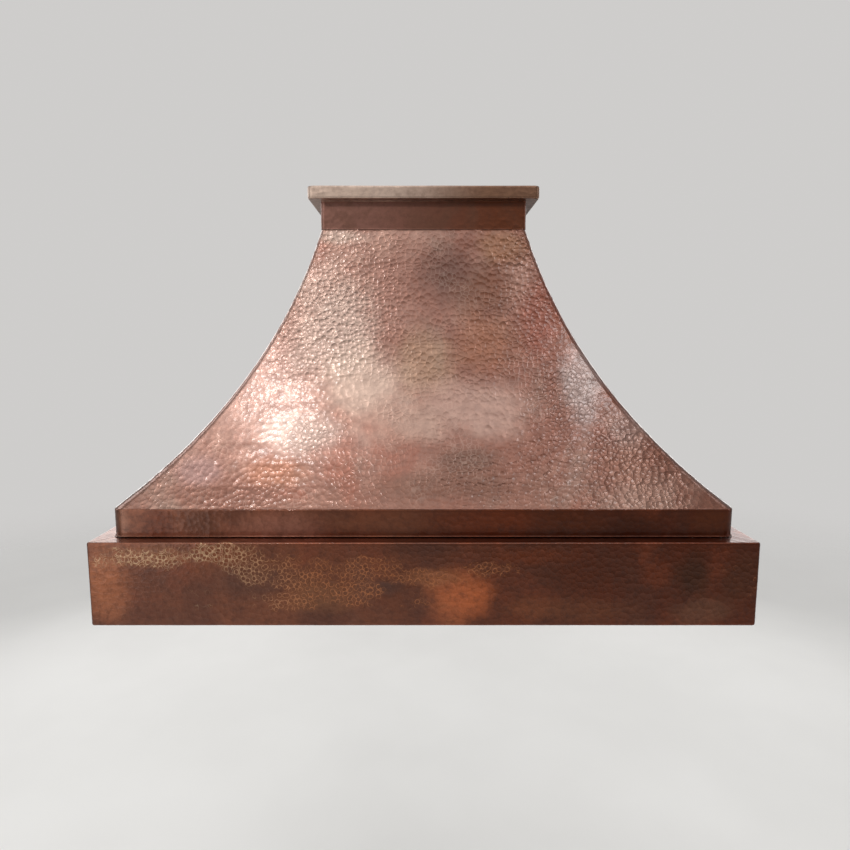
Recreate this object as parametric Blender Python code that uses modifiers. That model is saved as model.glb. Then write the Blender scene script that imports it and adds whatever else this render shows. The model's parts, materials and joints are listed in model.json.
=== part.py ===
"""Island range hood, built with Blender 4.5: blender --background --python part.py

A hammered copper canopy hangs from a welded steel frame. Inside are a stainless liner with three baffle
filters, four lamps and four push buttons, a double-inlet blower in its box, and a round duct with a
backdraft damper. Metres, +Z up, the front faces -Y. The origin is the centre of the canopy's bottom edge.
"""

import math

import bmesh
import bpy
from mathutils import Matrix, Vector

# Canopy: the copper outside
CANOPY_WIDTH = 1.067
CANOPY_DEPTH = 0.686
APRON_HEIGHT = 0.1382
LEDGE_STEP = 0.0275
FASCIA_HEIGHT = 0.0460
BELL_HEIGHT = 0.469
BELL_RADIUS = 0.955
NECK_WIDTH = 0.3665
NECK_HEIGHT = 0.0481
CAP_HEIGHT = 0.0227
CAP_LIP = 0.020
COPPER = 0.0016
HEM = 0.014
LEDGE_TUCK = 0.030
BELL_COURSES = 12

# Clearances
GAP = 0.0003
SLIP = 0.0005

# Steel hanging frame
PLATE = 0.003
ANGLE = 0.025
ANGLE_WALL = 0.003
RAIL_LEG = 0.050
CROSS_BAR_HEIGHT = 0.022
LAG_HOLE_RADIUS = 0.0055
LAG_HOLE_X = 0.128
LAG_HOLE_Y = 0.105

# Liner, filters and lamps
SHEET = 0.001
LINER_CEILING = 0.056
LINER_RECESS = 0.014
RECESS_LIP_SIDE = 0.0028
RECESS_LIP_REAR = 0.006
OPENING_X = 0.425
OPENING_Y = 0.188
FILTER_COUNT = 3
FILTER_WIDTH = 0.279
FILTER_PITCH = 0.282
FILTER_DEPTH = 0.368
FILTER_THICKNESS = 0.012
FILTER_RIM = 0.018
BAFFLE_PITCH = 0.0405
BAFFLE_HALF = 0.011
BAFFLE_WALL = 0.0018
LUG_X = 0.06075
HOOK_ROD_Y = 0.1785
HOOK_ROD_Z = 0.0620
HOOK_ROD_RADIUS = 0.0020
HOOK_BACK = 0.005
STRIP_Y = 0.240
LAMP_X = 0.360
LAMP_RADIUS = 0.0265

# Controls
BUTTON_COUNT = 4
BUTTON_PITCH = 0.030
BUTTON_RADIUS = 0.0075
BUTTON_TRAVEL = 0.0025
LATCH_TRAVEL = 0.006

# Blower, duct and damper
BOX_X = 0.136
BOX_Y = 0.155
BOX_TOP = 0.450
SCROLL_Y = -0.050
SCROLL_Z = 0.295
SCROLL_START = 0.080
SCROLL_END = 0.112
SCROLL_HALF = 0.085
WHEEL_RADIUS = 0.068
WHEEL_HALF = 0.075
BLADES = 20
INLET_RADIUS = 0.058
DUCT_RADIUS = 0.1015
DAMPER_Z = 0.505

# Levels and half sizes that follow from them
FASCIA_TOP = APRON_HEIGHT + FASCIA_HEIGHT
BELL_TOP = FASCIA_TOP + BELL_HEIGHT
CAP_BOTTOM = BELL_TOP + NECK_HEIGHT
TOP = CAP_BOTTOM + CAP_HEIGHT
HALF_W = CANOPY_WIDTH / 2
HALF_D = CANOPY_DEPTH / 2
FASCIA_W = HALF_W - LEDGE_STEP
FASCIA_D = HALF_D - LEDGE_STEP
NECK_W = NECK_WIDTH / 2
BELL_INSET = FASCIA_W - NECK_W
DEPTH_SHARE = 0.5
NECK_D = FASCIA_D - DEPTH_SHARE * BELL_INSET
CROSS_BAR_Z = APRON_HEIGHT + GAP
FILTER_Z = LINER_CEILING + 0.0005
HOPPER_TOP = APRON_HEIGHT - 0.002

HOOD = bpy.data.collections.new("island_range_hood")
CUTTERS = bpy.data.collections.new("cutters")


# ---------------------------------------------------------------- tools


def clear_scene():
    for obj in list(bpy.data.objects):
        bpy.data.objects.remove(obj, do_unlink=True)
    for collection in (HOOD, CUTTERS):
        bpy.context.scene.collection.children.link(collection)


def material(name, colour, metallic, roughness):
    made = bpy.data.materials.new(name)
    made.use_nodes = True
    shader = made.node_tree.nodes["Principled BSDF"]
    shader.inputs["Base Color"].default_value = (*colour, 1.0)
    shader.inputs["Metallic"].default_value = metallic
    shader.inputs["Roughness"].default_value = roughness
    return made


def add_mesh(name, bm, finish=None):
    """A new object from bm. With no finish it is a cutter, which doesn't render."""
    mesh = bpy.data.meshes.new(name)
    bm.to_mesh(mesh)
    bm.free()
    obj = bpy.data.objects.new(name, mesh)
    if finish is None:
        CUTTERS.objects.link(obj)
        obj.hide_render = True
        obj.display_type = "WIRE"
    else:
        HOOD.objects.link(obj)
        mesh.materials.append(finish)
    return obj


def add_empty(name, place):
    empty = bpy.data.objects.new(name, None)
    HOOD.objects.link(empty)
    empty.location = place
    return empty


def hang_on(obj, parent):
    """obj keeps its place in the world and follows parent."""
    obj.parent = parent
    obj.location = obj.location - parent.location
    return obj


def box(name, low, high, finish=None):
    bm = bmesh.new()
    bmesh.ops.create_cube(bm, size=1.0)
    size = Vector(high) - Vector(low)
    bmesh.ops.scale(bm, vec=size, verts=bm.verts)
    obj = add_mesh(name, bm, finish)
    obj.location = (Vector(high) + Vector(low)) / 2
    return obj


def rod(name, radius, length, finish=None, sides=24):
    """A cylinder along Z, centred on its object's origin."""
    bm = bmesh.new()
    bmesh.ops.create_cone(
        bm, cap_ends=True, segments=sides, radius1=radius, radius2=radius, depth=length
    )
    return add_mesh(name, bm, finish)


def turned(name, profile, finish, steps=24, ring=False):
    """A (radius, height) profile turned round Z. It runs down the outer side; a ring's profile closes."""
    bm = bmesh.new()
    points = [bm.verts.new((radius, 0.0, height)) for radius, height in profile]
    pairs = list(zip(points, points[1:]))
    if ring:
        pairs.append((points[-1], points[0]))
    for pair in pairs:
        bm.edges.new(pair)
    obj = add_mesh(name, bm, finish)
    screw = obj.modifiers.new("turn", "SCREW")
    screw.steps = steps
    screw.render_steps = steps
    screw.use_merge_vertices = True
    screw.merge_threshold = 0.00001
    screw.use_smooth_shade = True
    return obj


def made_mesh(obj, finish):
    """A curve made a closed mesh object in the same place, so that it can be cut, joined or be a cutter."""
    bpy.context.view_layer.update()
    graph = bpy.context.evaluated_depsgraph_get()
    mesh = bpy.data.meshes.new_from_object(obj.evaluated_get(graph))
    bm = bmesh.new()
    bm.from_mesh(mesh)
    bpy.data.meshes.remove(mesh)
    bmesh.ops.remove_doubles(bm, verts=bm.verts, dist=0.00001)
    bmesh.ops.recalc_face_normals(bm, faces=bm.faces)
    place = obj.matrix_world.copy()
    name = obj.name
    bpy.data.objects.remove(obj)
    made = add_mesh(name, bm, finish)
    made.matrix_world = place
    return made


def flat_outline(name, outline, thickness, finish=None):
    """A closed X-Y outline, its thickness centred on Z."""
    curve = bpy.data.curves.new(name, "CURVE")
    curve.dimensions = "2D"
    curve.fill_mode = "BOTH"
    curve.extrude = thickness / 2
    spline = curve.splines.new("POLY")
    spline.points.add(len(outline) - 1)
    for point, (x, y) in zip(spline.points, outline):
        point.co = (x, y, 0.0, 1.0)
    spline.use_cyclic_u = True
    obj = bpy.data.objects.new(name, curve)
    HOOD.objects.link(obj)
    return made_mesh(obj, finish)


def wire(name, points, radius, finish, sides=1):
    curve = bpy.data.curves.new(name, "CURVE")
    curve.dimensions = "3D"
    curve.bevel_depth = radius
    curve.bevel_resolution = sides
    curve.use_fill_caps = True
    spline = curve.splines.new("POLY")
    spline.points.add(len(points) - 1)
    for point, place in zip(spline.points, points):
        point.co = (*place, 1.0)
    obj = bpy.data.objects.new(name, curve)
    HOOD.objects.link(obj)
    curve.materials.append(finish)
    return obj


def ring_surface(name, rings, finish):
    """An open skin through rectangles of (half width, half depth, height), from inside or below outwards."""
    bm = bmesh.new()
    bmesh.ops.create_grid(bm, x_segments=1, y_segments=1, size=1.0)
    bmesh.ops.delete(bm, geom=bm.faces[:], context="FACES_ONLY")
    edges = bm.edges[:]
    for number, (half_w, half_d, height) in enumerate(rings):
        if number:
            grown = bmesh.ops.extrude_edge_only(bm, edges=edges)["geom"]
            edges = [part for part in grown if isinstance(part, bmesh.types.BMEdge)]
            corners = [part for part in grown if isinstance(part, bmesh.types.BMVert)]
        else:
            corners = bm.verts[:]
        for corner in corners:
            side_x = math.copysign(half_w, corner.co.x)
            side_y = math.copysign(half_d, corner.co.y)
            corner.co = (side_x, side_y, height)
    bmesh.ops.recalc_face_normals(bm, faces=bm.faces)
    return add_mesh(name, bm, finish)


def thicken(obj, thickness):
    """Gives an open skin its wall, inwards from the faces' outer side."""
    solid = obj.modifiers.new("wall", "SOLIDIFY")
    solid.thickness = thickness
    solid.offset = -1.0
    solid.solidify_mode = "NON_MANIFOLD"
    solid.nonmanifold_thickness_mode = "CONSTRAINTS"
    return obj


def boolean(obj, other, operation="DIFFERENCE"):
    change = obj.modifiers.new(operation.lower(), "BOOLEAN")
    change.operation = operation
    change.object = other
    change.solver = "EXACT"
    return obj


def cut_round(obj, place, radius, length, axis="Z"):
    cutter = rod(obj.name + "_hole", radius, length)
    cutter.location = place
    lie_along(cutter, axis)
    return boolean(obj, cutter)


def cut_box(obj, low, high):
    return boolean(obj, box(obj.name + "_slot", low, high))


def move(obj, place):
    obj.location = place
    return obj


def lie_along(obj, axis):
    """Turns a piece made round Z so that its axis lies along X (its top towards +X) or along Y."""
    turns = {"X": (0.0, math.pi / 2, 0.0), "Y": (math.pi / 2, 0.0, 0.0), "Z": (0.0, 0.0, 0.0)}
    obj.rotation_euler = turns[axis]
    return obj


def lie_along_x(obj):
    return lie_along(obj, "X")

def side_name(number, count):
    names = {2: ("left", "right"), 3: ("left", "centre", "right")}
    return names[count][number]


# ---------------------------------------------------------------- copper canopy


def bell_inset(height):
    """How far a side of the bell has come in at this height: an arc whose centre lies outside the bell."""
    chord = math.hypot(BELL_INSET, BELL_HEIGHT)
    along = (BELL_INSET / chord, BELL_HEIGHT / chord)
    reach = math.sqrt(BELL_RADIUS**2 - (chord / 2) ** 2)
    centre_inset = BELL_INSET / 2 - reach * along[1]
    centre_height = BELL_HEIGHT / 2 + reach * along[0]
    return centre_inset + math.sqrt(BELL_RADIUS**2 - (height - centre_height) ** 2)


def bell_ring(height):
    """Half width, half depth and height of the bell's outer face, from its height over the fascia."""
    inset = bell_inset(height)
    return FASCIA_W - inset, FASCIA_D - DEPTH_SHARE * inset, FASCIA_TOP + height


def bell_panel(name, turn, finish):
    """One of the bell's four sheets, mitred along its hips and cut level at its top and foot.

    turn is in quarter turns from the front."""
    spare = 0.004
    heights = [(BELL_HEIGHT + 2 * spare) * n / BELL_COURSES - spare for n in range(BELL_COURSES + 1)]
    panel = ring_surface(name, [bell_ring(height) for height in heights], finish)
    thicken(panel, COPPER)
    margin = 0.05
    outer = (FASCIA_W + margin, FASCIA_D + DEPTH_SHARE * margin)
    inner = (NECK_W - margin, NECK_D - DEPTH_SHARE * margin)
    mitre = GAP / 2
    if turn % 2 == 0:
        side = -1 if turn == 0 else 1
        wedge = [
            (-outer[0] + 2 * mitre, side * outer[1]),
            (outer[0] - 2 * mitre, side * outer[1]),
            (inner[0] - 2 * mitre, side * inner[1]),
            (-inner[0] + 2 * mitre, side * inner[1]),
        ]
    else:
        side = 1 if turn == 1 else -1
        wedge = [
            (side * outer[0], -outer[1] + mitre),
            (side * outer[0], outer[1] - mitre),
            (side * inner[0], inner[1] - mitre),
            (side * inner[0], -inner[1] + mitre),
        ]
    cutter = flat_outline(name + "_wedge", wedge, BELL_HEIGHT - 2 * GAP)
    cutter.location.z = FASCIA_TOP + BELL_HEIGHT / 2
    return boolean(panel, cutter, "INTERSECT")


def canopy(copper):
    apron_rings = [
        (HALF_W - HEM, HALF_D - HEM, 0.0),
        (HALF_W, HALF_D, 0.0),
        (HALF_W, HALF_D, APRON_HEIGHT),
        (FASCIA_W - LEDGE_TUCK, FASCIA_D - LEDGE_TUCK, APRON_HEIGHT),
    ]
    thicken(ring_surface("apron_band", apron_rings, copper), COPPER)
    foot = APRON_HEIGHT + GAP
    fascia_rings = [
        (FASCIA_W - HEM, FASCIA_D - HEM, foot),
        (FASCIA_W, FASCIA_D, foot),
        (FASCIA_W, FASCIA_D, FASCIA_TOP),
    ]
    thicken(ring_surface("fascia_band", fascia_rings, copper), COPPER)
    for turn, side in enumerate(("front", "right", "rear", "left")):
        bell_panel(f"bell_{side}_panel", turn, copper)
    neck_rings = [(NECK_W, NECK_D, BELL_TOP), (NECK_W, NECK_D, TOP - COPPER - GAP)]
    thicken(ring_surface("neck_collar", neck_rings, copper), COPPER)
    cap_rings = [
        (NECK_W + SLIP, NECK_D + SLIP, CAP_BOTTOM),
        (NECK_W + CAP_LIP, NECK_D + CAP_LIP, CAP_BOTTOM),
        (NECK_W + CAP_LIP, NECK_D + CAP_LIP, TOP),
        (NECK_W - HEM, NECK_D - HEM, TOP),
    ]
    thicken(ring_surface("crown_cap", cap_rings, copper), COPPER)


# ---------------------------------------------------------------- steel hanging frame


def ceiling_plate(steel):
    half_w = NECK_W - HEM - SLIP
    half_d = NECK_D - HEM - SLIP
    plate = box("ceiling_plate", (-half_w, -half_d, TOP - PLATE), (half_w, half_d, TOP), steel)
    cut_round(plate, (0.0, 0.0, TOP), DUCT_RADIUS + 0.003, 0.05)
    for x in (-LAG_HOLE_X, LAG_HOLE_X):
        for y in (-LAG_HOLE_Y, LAG_HOLE_Y):
            cut_round(plate, (x, y, TOP), LAG_HOLE_RADIUS, 0.05)


def hanging_frame(steel):
    ceiling_plate(steel)
    corner_x = NECK_W - HEM - 0.0015
    corner_y = NECK_D - HEM - 0.0015
    bar_top = CROSS_BAR_Z + CROSS_BAR_HEIGHT
    length = TOP - PLATE - bar_top - 2 * GAP
    for side_x, x_name in ((-1, "left"), (1, "right")):
        for side_y, y_name in ((-1, "front"), (1, "rear")):
            angle = [
                (0.0, 0.0),
                (-side_x * ANGLE, 0.0),
                (-side_x * ANGLE, -side_y * ANGLE_WALL),
                (-side_x * ANGLE_WALL, -side_y * ANGLE_WALL),
                (-side_x * ANGLE_WALL, -side_y * ANGLE),
                (0.0, -side_y * ANGLE),
            ]
            post = flat_outline(f"hanger_post_{y_name}_{x_name}", angle, length, steel)
            middle = bar_top + GAP + length / 2
            post.location = (side_x * corner_x, side_y * corner_y, middle)
        bar_x = side_x * (corner_x - ANGLE / 2)
        reach = FASCIA_D - HEM - COPPER
        low = (bar_x - 0.015, -reach, CROSS_BAR_Z)
        box(f"cross_bar_{x_name}", low, (bar_x + 0.015, reach, bar_top), steel)
    rail_w = HALF_W - COPPER - GAP
    rail_d = HALF_D - COPPER - GAP
    rail_top = APRON_HEIGHT - COPPER - GAP
    rails = [
        (rail_w, rail_d, rail_top - ANGLE),
        (rail_w, rail_d, rail_top),
        (rail_w - RAIL_LEG, rail_d - RAIL_LEG, rail_top),
    ]
    thicken(ring_surface("lower_frame", rails, steel), ANGLE_WALL)


# ---------------------------------------------------------------- liner, filters and lamps


def liner(stainless, galvanised):
    rest = COPPER + GAP
    wide = HALF_W - COPPER - 0.003
    deep = HALF_D - COPPER - 0.003
    rings = [
        (wide, deep, rest),
        (wide - 0.037, deep - 0.037, rest),
        (wide - 0.057, deep - 0.057, LINER_CEILING),
        (OPENING_X, OPENING_Y, LINER_CEILING),
        (OPENING_X, OPENING_Y, LINER_CEILING + LINER_RECESS),
        (OPENING_X - RECESS_LIP_SIDE, OPENING_Y - RECESS_LIP_REAR, LINER_CEILING + LINER_RECESS),
    ]
    pan = ring_surface("liner_pan", rings, stainless)
    for polygon in pan.data.polygons:
        polygon.flip()
    if pan.data.polygons[0].normal.z > 0:
        for polygon in pan.data.polygons:
            polygon.flip()
    thicken(pan, SHEET)
    for number in range(FILTER_COUNT):
        x = (number - 1) * FILTER_PITCH
        z = FILTER_Z + 0.0037
        strike_slot = (x - 0.0095, -OPENING_Y - 0.004, z)
        cut_box(pan, strike_slot, (x + 0.0095, -OPENING_Y + 0.003, z + 0.0036))
    rod_place = (0.0, HOOK_ROD_Y, HOOK_ROD_Z)
    hook_rod = rod("hook_rod", HOOK_ROD_RADIUS, 2 * OPENING_X + SHEET, sides=16)
    boolean(pan, move(lie_along_x(hook_rod), rod_place), "UNION")
    for side in (-1, 1):
        x = side * FILTER_PITCH / 2
        low = (x - 0.0007, HOOK_ROD_Y, HOOK_ROD_Z - 0.0015)
        high = (x + 0.0007, OPENING_Y + SHEET / 2, HOOK_ROD_Z + 0.0015)
        boolean(pan, box("rod_tab", low, high), "UNION")
    for x in (-LAMP_X, LAMP_X):
        for y in (-STRIP_Y, STRIP_Y):
            cut_round(pan, (x, y, LINER_CEILING), LAMP_RADIUS + SLIP, 0.02)
    hole = BUTTON_COUNT * BUTTON_PITCH / 2
    cut_box(pan, (-hole, -STRIP_Y - 0.012, 0.05), (hole, -STRIP_Y + 0.012, 0.06))
    seat = LINER_CEILING + SHEET + GAP
    hopper_rings = [
        (OPENING_X + 0.021, OPENING_Y + 0.018, seat + SHEET),
        (OPENING_X + 0.007, OPENING_Y + 0.006, seat + SHEET),
        (OPENING_X + 0.007, OPENING_Y + 0.006, 0.080),
        (BOX_X, BOX_Y, HOPPER_TOP),
    ]
    hopper = ring_surface("plenum_hopper", hopper_rings, galvanised)
    thicken(hopper, SHEET)


def filter_body(name, stainless):
    """A rim with a lower and an upper row of baffles, the upper ones over the lower row's gaps.

    Its rear edge is at y = 0 and its underside at z = 0. The groove in that edge hooks on the liner's rod."""
    half_w = FILTER_WIDTH / 2
    depth = FILTER_DEPTH
    body = box(name, (-half_w, -depth, 0.0), (half_w, 0.0, FILTER_THICKNESS), stainless)
    inner_low = (-half_w + FILTER_RIM, -depth + FILTER_RIM, -0.01)
    inner_high = (half_w - FILTER_RIM, -FILTER_RIM, FILTER_THICKNESS + 0.01)
    cut_box(body, inner_low, inner_high)
    lap = 0.003
    front = -depth + FILTER_RIM - lap
    rear = -FILTER_RIM + lap
    for row, count in enumerate((6, 7)):
        z = 0.0008 + row * 0.0078
        half = BAFFLE_HALF + row * 0.0015
        for n in range(count):
            x = (n - (count - 1) / 2) * BAFFLE_PITCH
            baffle = box(name + "_baffle", (x - half, front, z), (x + half, rear, z + BAFFLE_WALL))
            boolean(body, baffle, "UNION")
    channel_end = -depth + FILTER_RIM + 0.004
    cut_box(body, (-0.0090, -depth - 0.001, 0.0036), (0.0090, channel_end, 0.0072))
    cut_box(body, (-0.0055, -depth + 0.0100, -0.001), (0.0055, channel_end, 0.0040))
    for side in (-1, 1):
        x = side * LUG_X
        low = (x - 0.002, -depth + 0.030, -0.0085)
        high = (x + 0.002, -depth + 0.040, 0.0020)
        boolean(body, box(name + "_lug", low, high), "UNION")
    cut_round(body, (0.0, -depth + 0.035, -0.0045), 0.0026, 0.2, axis="X")
    groove = HOOK_ROD_RADIUS + 0.0004
    level = HOOK_ROD_Z - FILTER_Z
    cut_round(body, (0.0, -HOOK_BACK, level), groove, 0.3, axis="X")
    cut_box(body, (-0.15, -HOOK_BACK, level - groove), (0.15, 0.002, level + groove))
    return body


def baffle_filters(stainless, dark_steel):
    for number in range(FILTER_COUNT):
        side = side_name(number, FILTER_COUNT)
        x = (number - 1) * FILTER_PITCH
        tilt = add_empty(f"filter_{side}_hinge", (x, HOOK_ROD_Y, HOOK_ROD_Z))
        rear = HOOK_ROD_Y + HOOK_BACK
        body = filter_body(f"filter_{side}", stainless)
        for piece in [body] + [m.object for m in body.modifiers]:
            piece.location += Vector((x, rear, FILTER_Z))
        hang_on(body, tilt)
        front = rear - FILTER_DEPTH
        pivot = (x, front + 0.035, FILTER_Z - 0.0045)
        drop, spread, end = 0.030, LUG_X - 0.005, LUG_X + 0.004
        bail = [
            (-end, 0.0, 0.0),
            (-spread, 0.0, 0.0),
            (-spread, 0.0, -drop + 0.006),
            (-spread + 0.006, 0.0, -drop),
            (spread - 0.006, 0.0, -drop),
            (spread, 0.0, -drop + 0.006),
            (spread, 0.0, 0.0),
            (end, 0.0, 0.0),
        ]
        handle = move(wire(f"filter_handle_{side}", bail, 0.002, stainless), pivot)
        hang_on(handle, tilt)
        tongue = (-0.0080, -0.0030, 0.0042)
        latch = box(f"filter_latch_{side}", tongue, (0.0080, 0.0150, 0.0066), dark_steel)
        thumb = box("thumb_tab", (-0.0050, 0.0110, -0.0070), (0.0050, 0.0150, 0.0055))
        for piece in (latch, thumb):
            piece.location += Vector((x, front, FILTER_Z))
        boolean(latch, thumb, "UNION")
        hang_on(latch, tilt)


def lamps(stainless, frosted):
    below = 0.0025
    shade = [
        (LAMP_RADIUS, 0.030),
        (LAMP_RADIUS, -GAP),
        (LAMP_RADIUS + 0.008, -GAP),
        (LAMP_RADIUS + 0.008, -below),
        (LAMP_RADIUS - 0.003, -below),
        (LAMP_RADIUS - 0.003, 0.028),
        (0.0, 0.028),
    ]
    lens = [(0.0, 0.0012), (LAMP_RADIUS - 0.0035, 0.0012), (LAMP_RADIUS - 0.0035, -0.0008), (0.0, -0.0008)]
    for x, x_name in ((-LAMP_X, "left"), (LAMP_X, "right")):
        for y, y_name in ((-STRIP_Y, "front"), (STRIP_Y, "rear")):
            place = (x, y, LINER_CEILING)
            move(turned(f"lamp_{y_name}_{x_name}", [(0.0, 0.030)] + shade, stainless), place)
            move(turned(f"lamp_lens_{y_name}_{x_name}", lens, frosted), place)


# ---------------------------------------------------------------- controls


def controls(stainless, dark_steel, board_green, knob_metal):
    half = BUTTON_COUNT * BUTTON_PITCH / 2 + 0.012
    top = LINER_CEILING - GAP
    low = (-half, -STRIP_Y - 0.020, top - 0.0025)
    panel = box("control_panel", low, (half, -STRIP_Y + 0.020, top), dark_steel)
    button = [
        (0.0, 0.0095),
        (0.0030, 0.0095),
        (0.0030, 0.0055),
        (0.0092, 0.0055),
        (0.0092, 0.0045),
        (BUTTON_RADIUS, 0.0045),
        (BUTTON_RADIUS, -0.0015),
        (BUTTON_RADIUS - 0.0010, -0.0025),
        (0.0, -0.0025),
    ]
    for number in range(BUTTON_COUNT):
        x = (number - (BUTTON_COUNT - 1) / 2) * BUTTON_PITCH
        place = (x, -STRIP_Y, top - 0.0025)
        cut_round(panel, place, BUTTON_RADIUS + SLIP, 0.02)
        move(turned(f"button_{number + 1}", button, knob_metal, steps=16), place)
    board_z = LINER_CEILING + 0.012
    seat = LINER_CEILING + SHEET + GAP
    board = box("control_board", (-0.068, -0.2610, board_z), (0.068, -0.2190, board_z + 0.0016), board_green)
    for x in (-0.0640, 0.0640):
        for y in (-0.2570, -0.2230):
            standoff = rod("standoff", 0.0025, board_z + 0.0008 - seat, sides=12)
            boolean(board, move(standoff, (x, y, (board_z + 0.0008 + seat) / 2)), "UNION")
    shell = box("control_box", (-0.078, -0.2660, seat), (0.078, -0.2150, seat + 0.040), stainless)
    cut_box(shell, (-0.077, -0.2650, seat - 0.01), (0.077, -0.2160, seat + 0.039))


# ---------------------------------------------------------------- blower, duct and damper


def scroll_outline(grow):
    """The volute in the Y-Z plane: a spiral round the wheel that opens into a straight throat going up."""
    start = math.radians(60)
    steps = 30
    points = []
    for n in range(steps + 1):
        angle = start + (2 * math.pi - start) * n / steps
        share = (angle - start) / (2 * math.pi - start)
        radius = SCROLL_START + (SCROLL_END - SCROLL_START) * share + grow
        points.append((radius * math.cos(angle), radius * math.sin(angle)))
    throat_top = BOX_TOP - SHEET - SLIP - SCROLL_Z
    throat_wall = SCROLL_START * math.cos(start) - grow
    points[0] = (throat_wall, points[0][1])
    points.append((SCROLL_END + grow, throat_top))
    points.append((throat_wall, throat_top))
    return points


def upright(obj, place):
    """Stands an X-Y outline up in the Y-Z plane, its thickness along X."""
    turn = Matrix(((0.0, 0.0, 1.0), (1.0, 0.0, 0.0), (0.0, 1.0, 0.0)))
    obj.matrix_world = Matrix.Translation(place) @ turn.to_4x4()
    return obj


def blower_housing(galvanised):
    centre = (0.0, SCROLL_Y, SCROLL_Z)
    housing = flat_outline("blower_housing", scroll_outline(0.0), 2 * SCROLL_HALF, galvanised)
    upright(housing, centre)
    hollow = flat_outline("scroll_hollow", scroll_outline(-0.0012), 2 * SCROLL_HALF - 0.0024)
    upright(hollow, centre)
    boolean(housing, hollow)
    throat_low = (-SCROLL_HALF + 0.0012, SCROLL_Y + SCROLL_START / 2 + 0.0012, 0.40)
    throat_high = (SCROLL_HALF - 0.0012, SCROLL_Y + SCROLL_END - 0.0012, BOX_TOP + 0.01)
    cut_box(housing, throat_low, throat_high)
    cut_round(housing, centre, INLET_RADIUS + 0.004, 0.3, axis="X")


def inlet_ring(name, side, bore, galvanised):
    """A rolled bell mouth on the outside of the housing's inlet."""
    face = SCROLL_HALF + GAP
    profile = [
        (INLET_RADIUS + 0.012, face + 0.0015),
        (INLET_RADIUS + 0.012, face),
        (bore, face),
        (bore, face + 0.007),
        (bore + 0.004, face + 0.007),
        (bore + 0.006, face + 0.0015),
    ]
    ring = turned(name, profile, galvanised, ring=True)
    ring.rotation_euler = (0.0, side * math.pi / 2, 0.0)
    return move(ring, (0.0, SCROLL_Y, SCROLL_Z))


def blower_wheel(finish):
    """A double-inlet squirrel cage: a hub plate, two end rings, and blades that run from ring to ring."""
    blade_in, blade_out = WHEEL_RADIUS - 0.012, WHEEL_RADIUS - 0.001
    half = WHEEL_HALF
    plate = [(WHEEL_RADIUS - 0.004, 0.001), (WHEEL_RADIUS - 0.004, -0.001), (0.0095, -0.001)]
    plate += [(0.0095, -0.010), (0.0046, -0.010), (0.0046, 0.001)]
    wheel = turned("blower_wheel", plate, finish, ring=True)
    for side in (-1, 1):
        z = side * (half - 0.002)
        rim = [(WHEEL_RADIUS, z + 0.002), (WHEEL_RADIUS, z - 0.002), (blade_in + 0.001, z - 0.002)]
        rim += [(blade_in + 0.001, z + 0.002)]
        ring = turned("wheel_rim", rim, finish, ring=True)
        HOOD.objects.unlink(ring)
        CUTTERS.objects.link(ring)
        ring.hide_render = True
        boolean(wheel, ring, "UNION")
        lie_along_x(ring).location = (0.0, SCROLL_Y, SCROLL_Z)
    for n in range(BLADES):
        angle = 2 * math.pi * n / BLADES
        blade = box("blade", (blade_in, -0.0007, -half + 0.001), (blade_out, 0.0007, half - 0.001))
        pitch = Matrix.Rotation(math.radians(25), 4, "Z")
        middle = Matrix.Translation(((blade_in + blade_out) / 2, 0.0, 0.0))
        spoke = Matrix.Rotation(angle, 4, "Z") @ middle @ pitch
        lie = Matrix.Rotation(math.pi / 2, 4, "Y")
        blade.matrix_world = Matrix.Translation((0.0, SCROLL_Y, SCROLL_Z)) @ lie @ spoke
        boolean(wheel, blade, "UNION")
    return lie_along_x(move(wheel, (0.0, SCROLL_Y, SCROLL_Z)))


def motor_set(motor_grey, steel, plastic):
    """The motor reaches into the wheel from the right, on a bracket across the right-hand inlet."""
    centre = (0.0, SCROLL_Y, SCROLL_Z)
    body = [
        (0.0, 0.098),
        (0.040, 0.098),
        (0.042, 0.096),
        (0.042, 0.022),
        (0.038, 0.018),
        (0.014, 0.018),
        (0.012, 0.014),
        (0.0044, 0.014),
        (0.0044, 0.030),
        (0.0, 0.030),
    ]
    move(lie_along_x(turned("motor", body, motor_grey)), centre)
    shaft = lie_along_x(rod("motor_shaft", 0.0040, 0.040, steel, sides=20))
    move(shaft, (0.009, SCROLL_Y, SCROLL_Z))
    reach = INLET_RADIUS + 0.0205
    bracket_x = SCROLL_HALF + 0.0105
    low = (bracket_x, SCROLL_Y - 0.012, SCROLL_Z - reach)
    bracket = box("motor_bracket", low, (bracket_x + 0.002, SCROLL_Y + 0.012, SCROLL_Z + reach), steel)
    cut_round(bracket, centre, 0.0425, 0.3, axis="X")
    hoop_profile = [(0.050, bracket_x + 0.002), (0.050, bracket_x), (0.0425, bracket_x), (0.0425, bracket_x + 0.002)]
    hoop = turned("bracket_hoop", hoop_profile, steel, ring=True)
    HOOD.objects.unlink(hoop)
    CUTTERS.objects.link(hoop)
    hoop.hide_render = True
    move(lie_along_x(hoop), centre)
    boolean(bracket, hoop, "UNION")
    for side in (-1, 1):
        outer = SCROLL_Z + side * (reach - 0.0004)
        inner = SCROLL_Z + side * (reach - 0.004)
        foot_low = (SCROLL_HALF + GAP, SCROLL_Y - 0.011, min(inner, outer))
        foot = box("bracket_foot", foot_low, (bracket_x + 0.001, SCROLL_Y + 0.011, max(inner, outer)))
        boolean(bracket, foot, "UNION")
    capacitor = lie_along_x(rod("run_capacitor", 0.016, 0.055, plastic, sides=24))
    move(capacitor, (0.0, BOX_Y - SHEET - 0.016 - GAP, 0.230))


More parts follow.
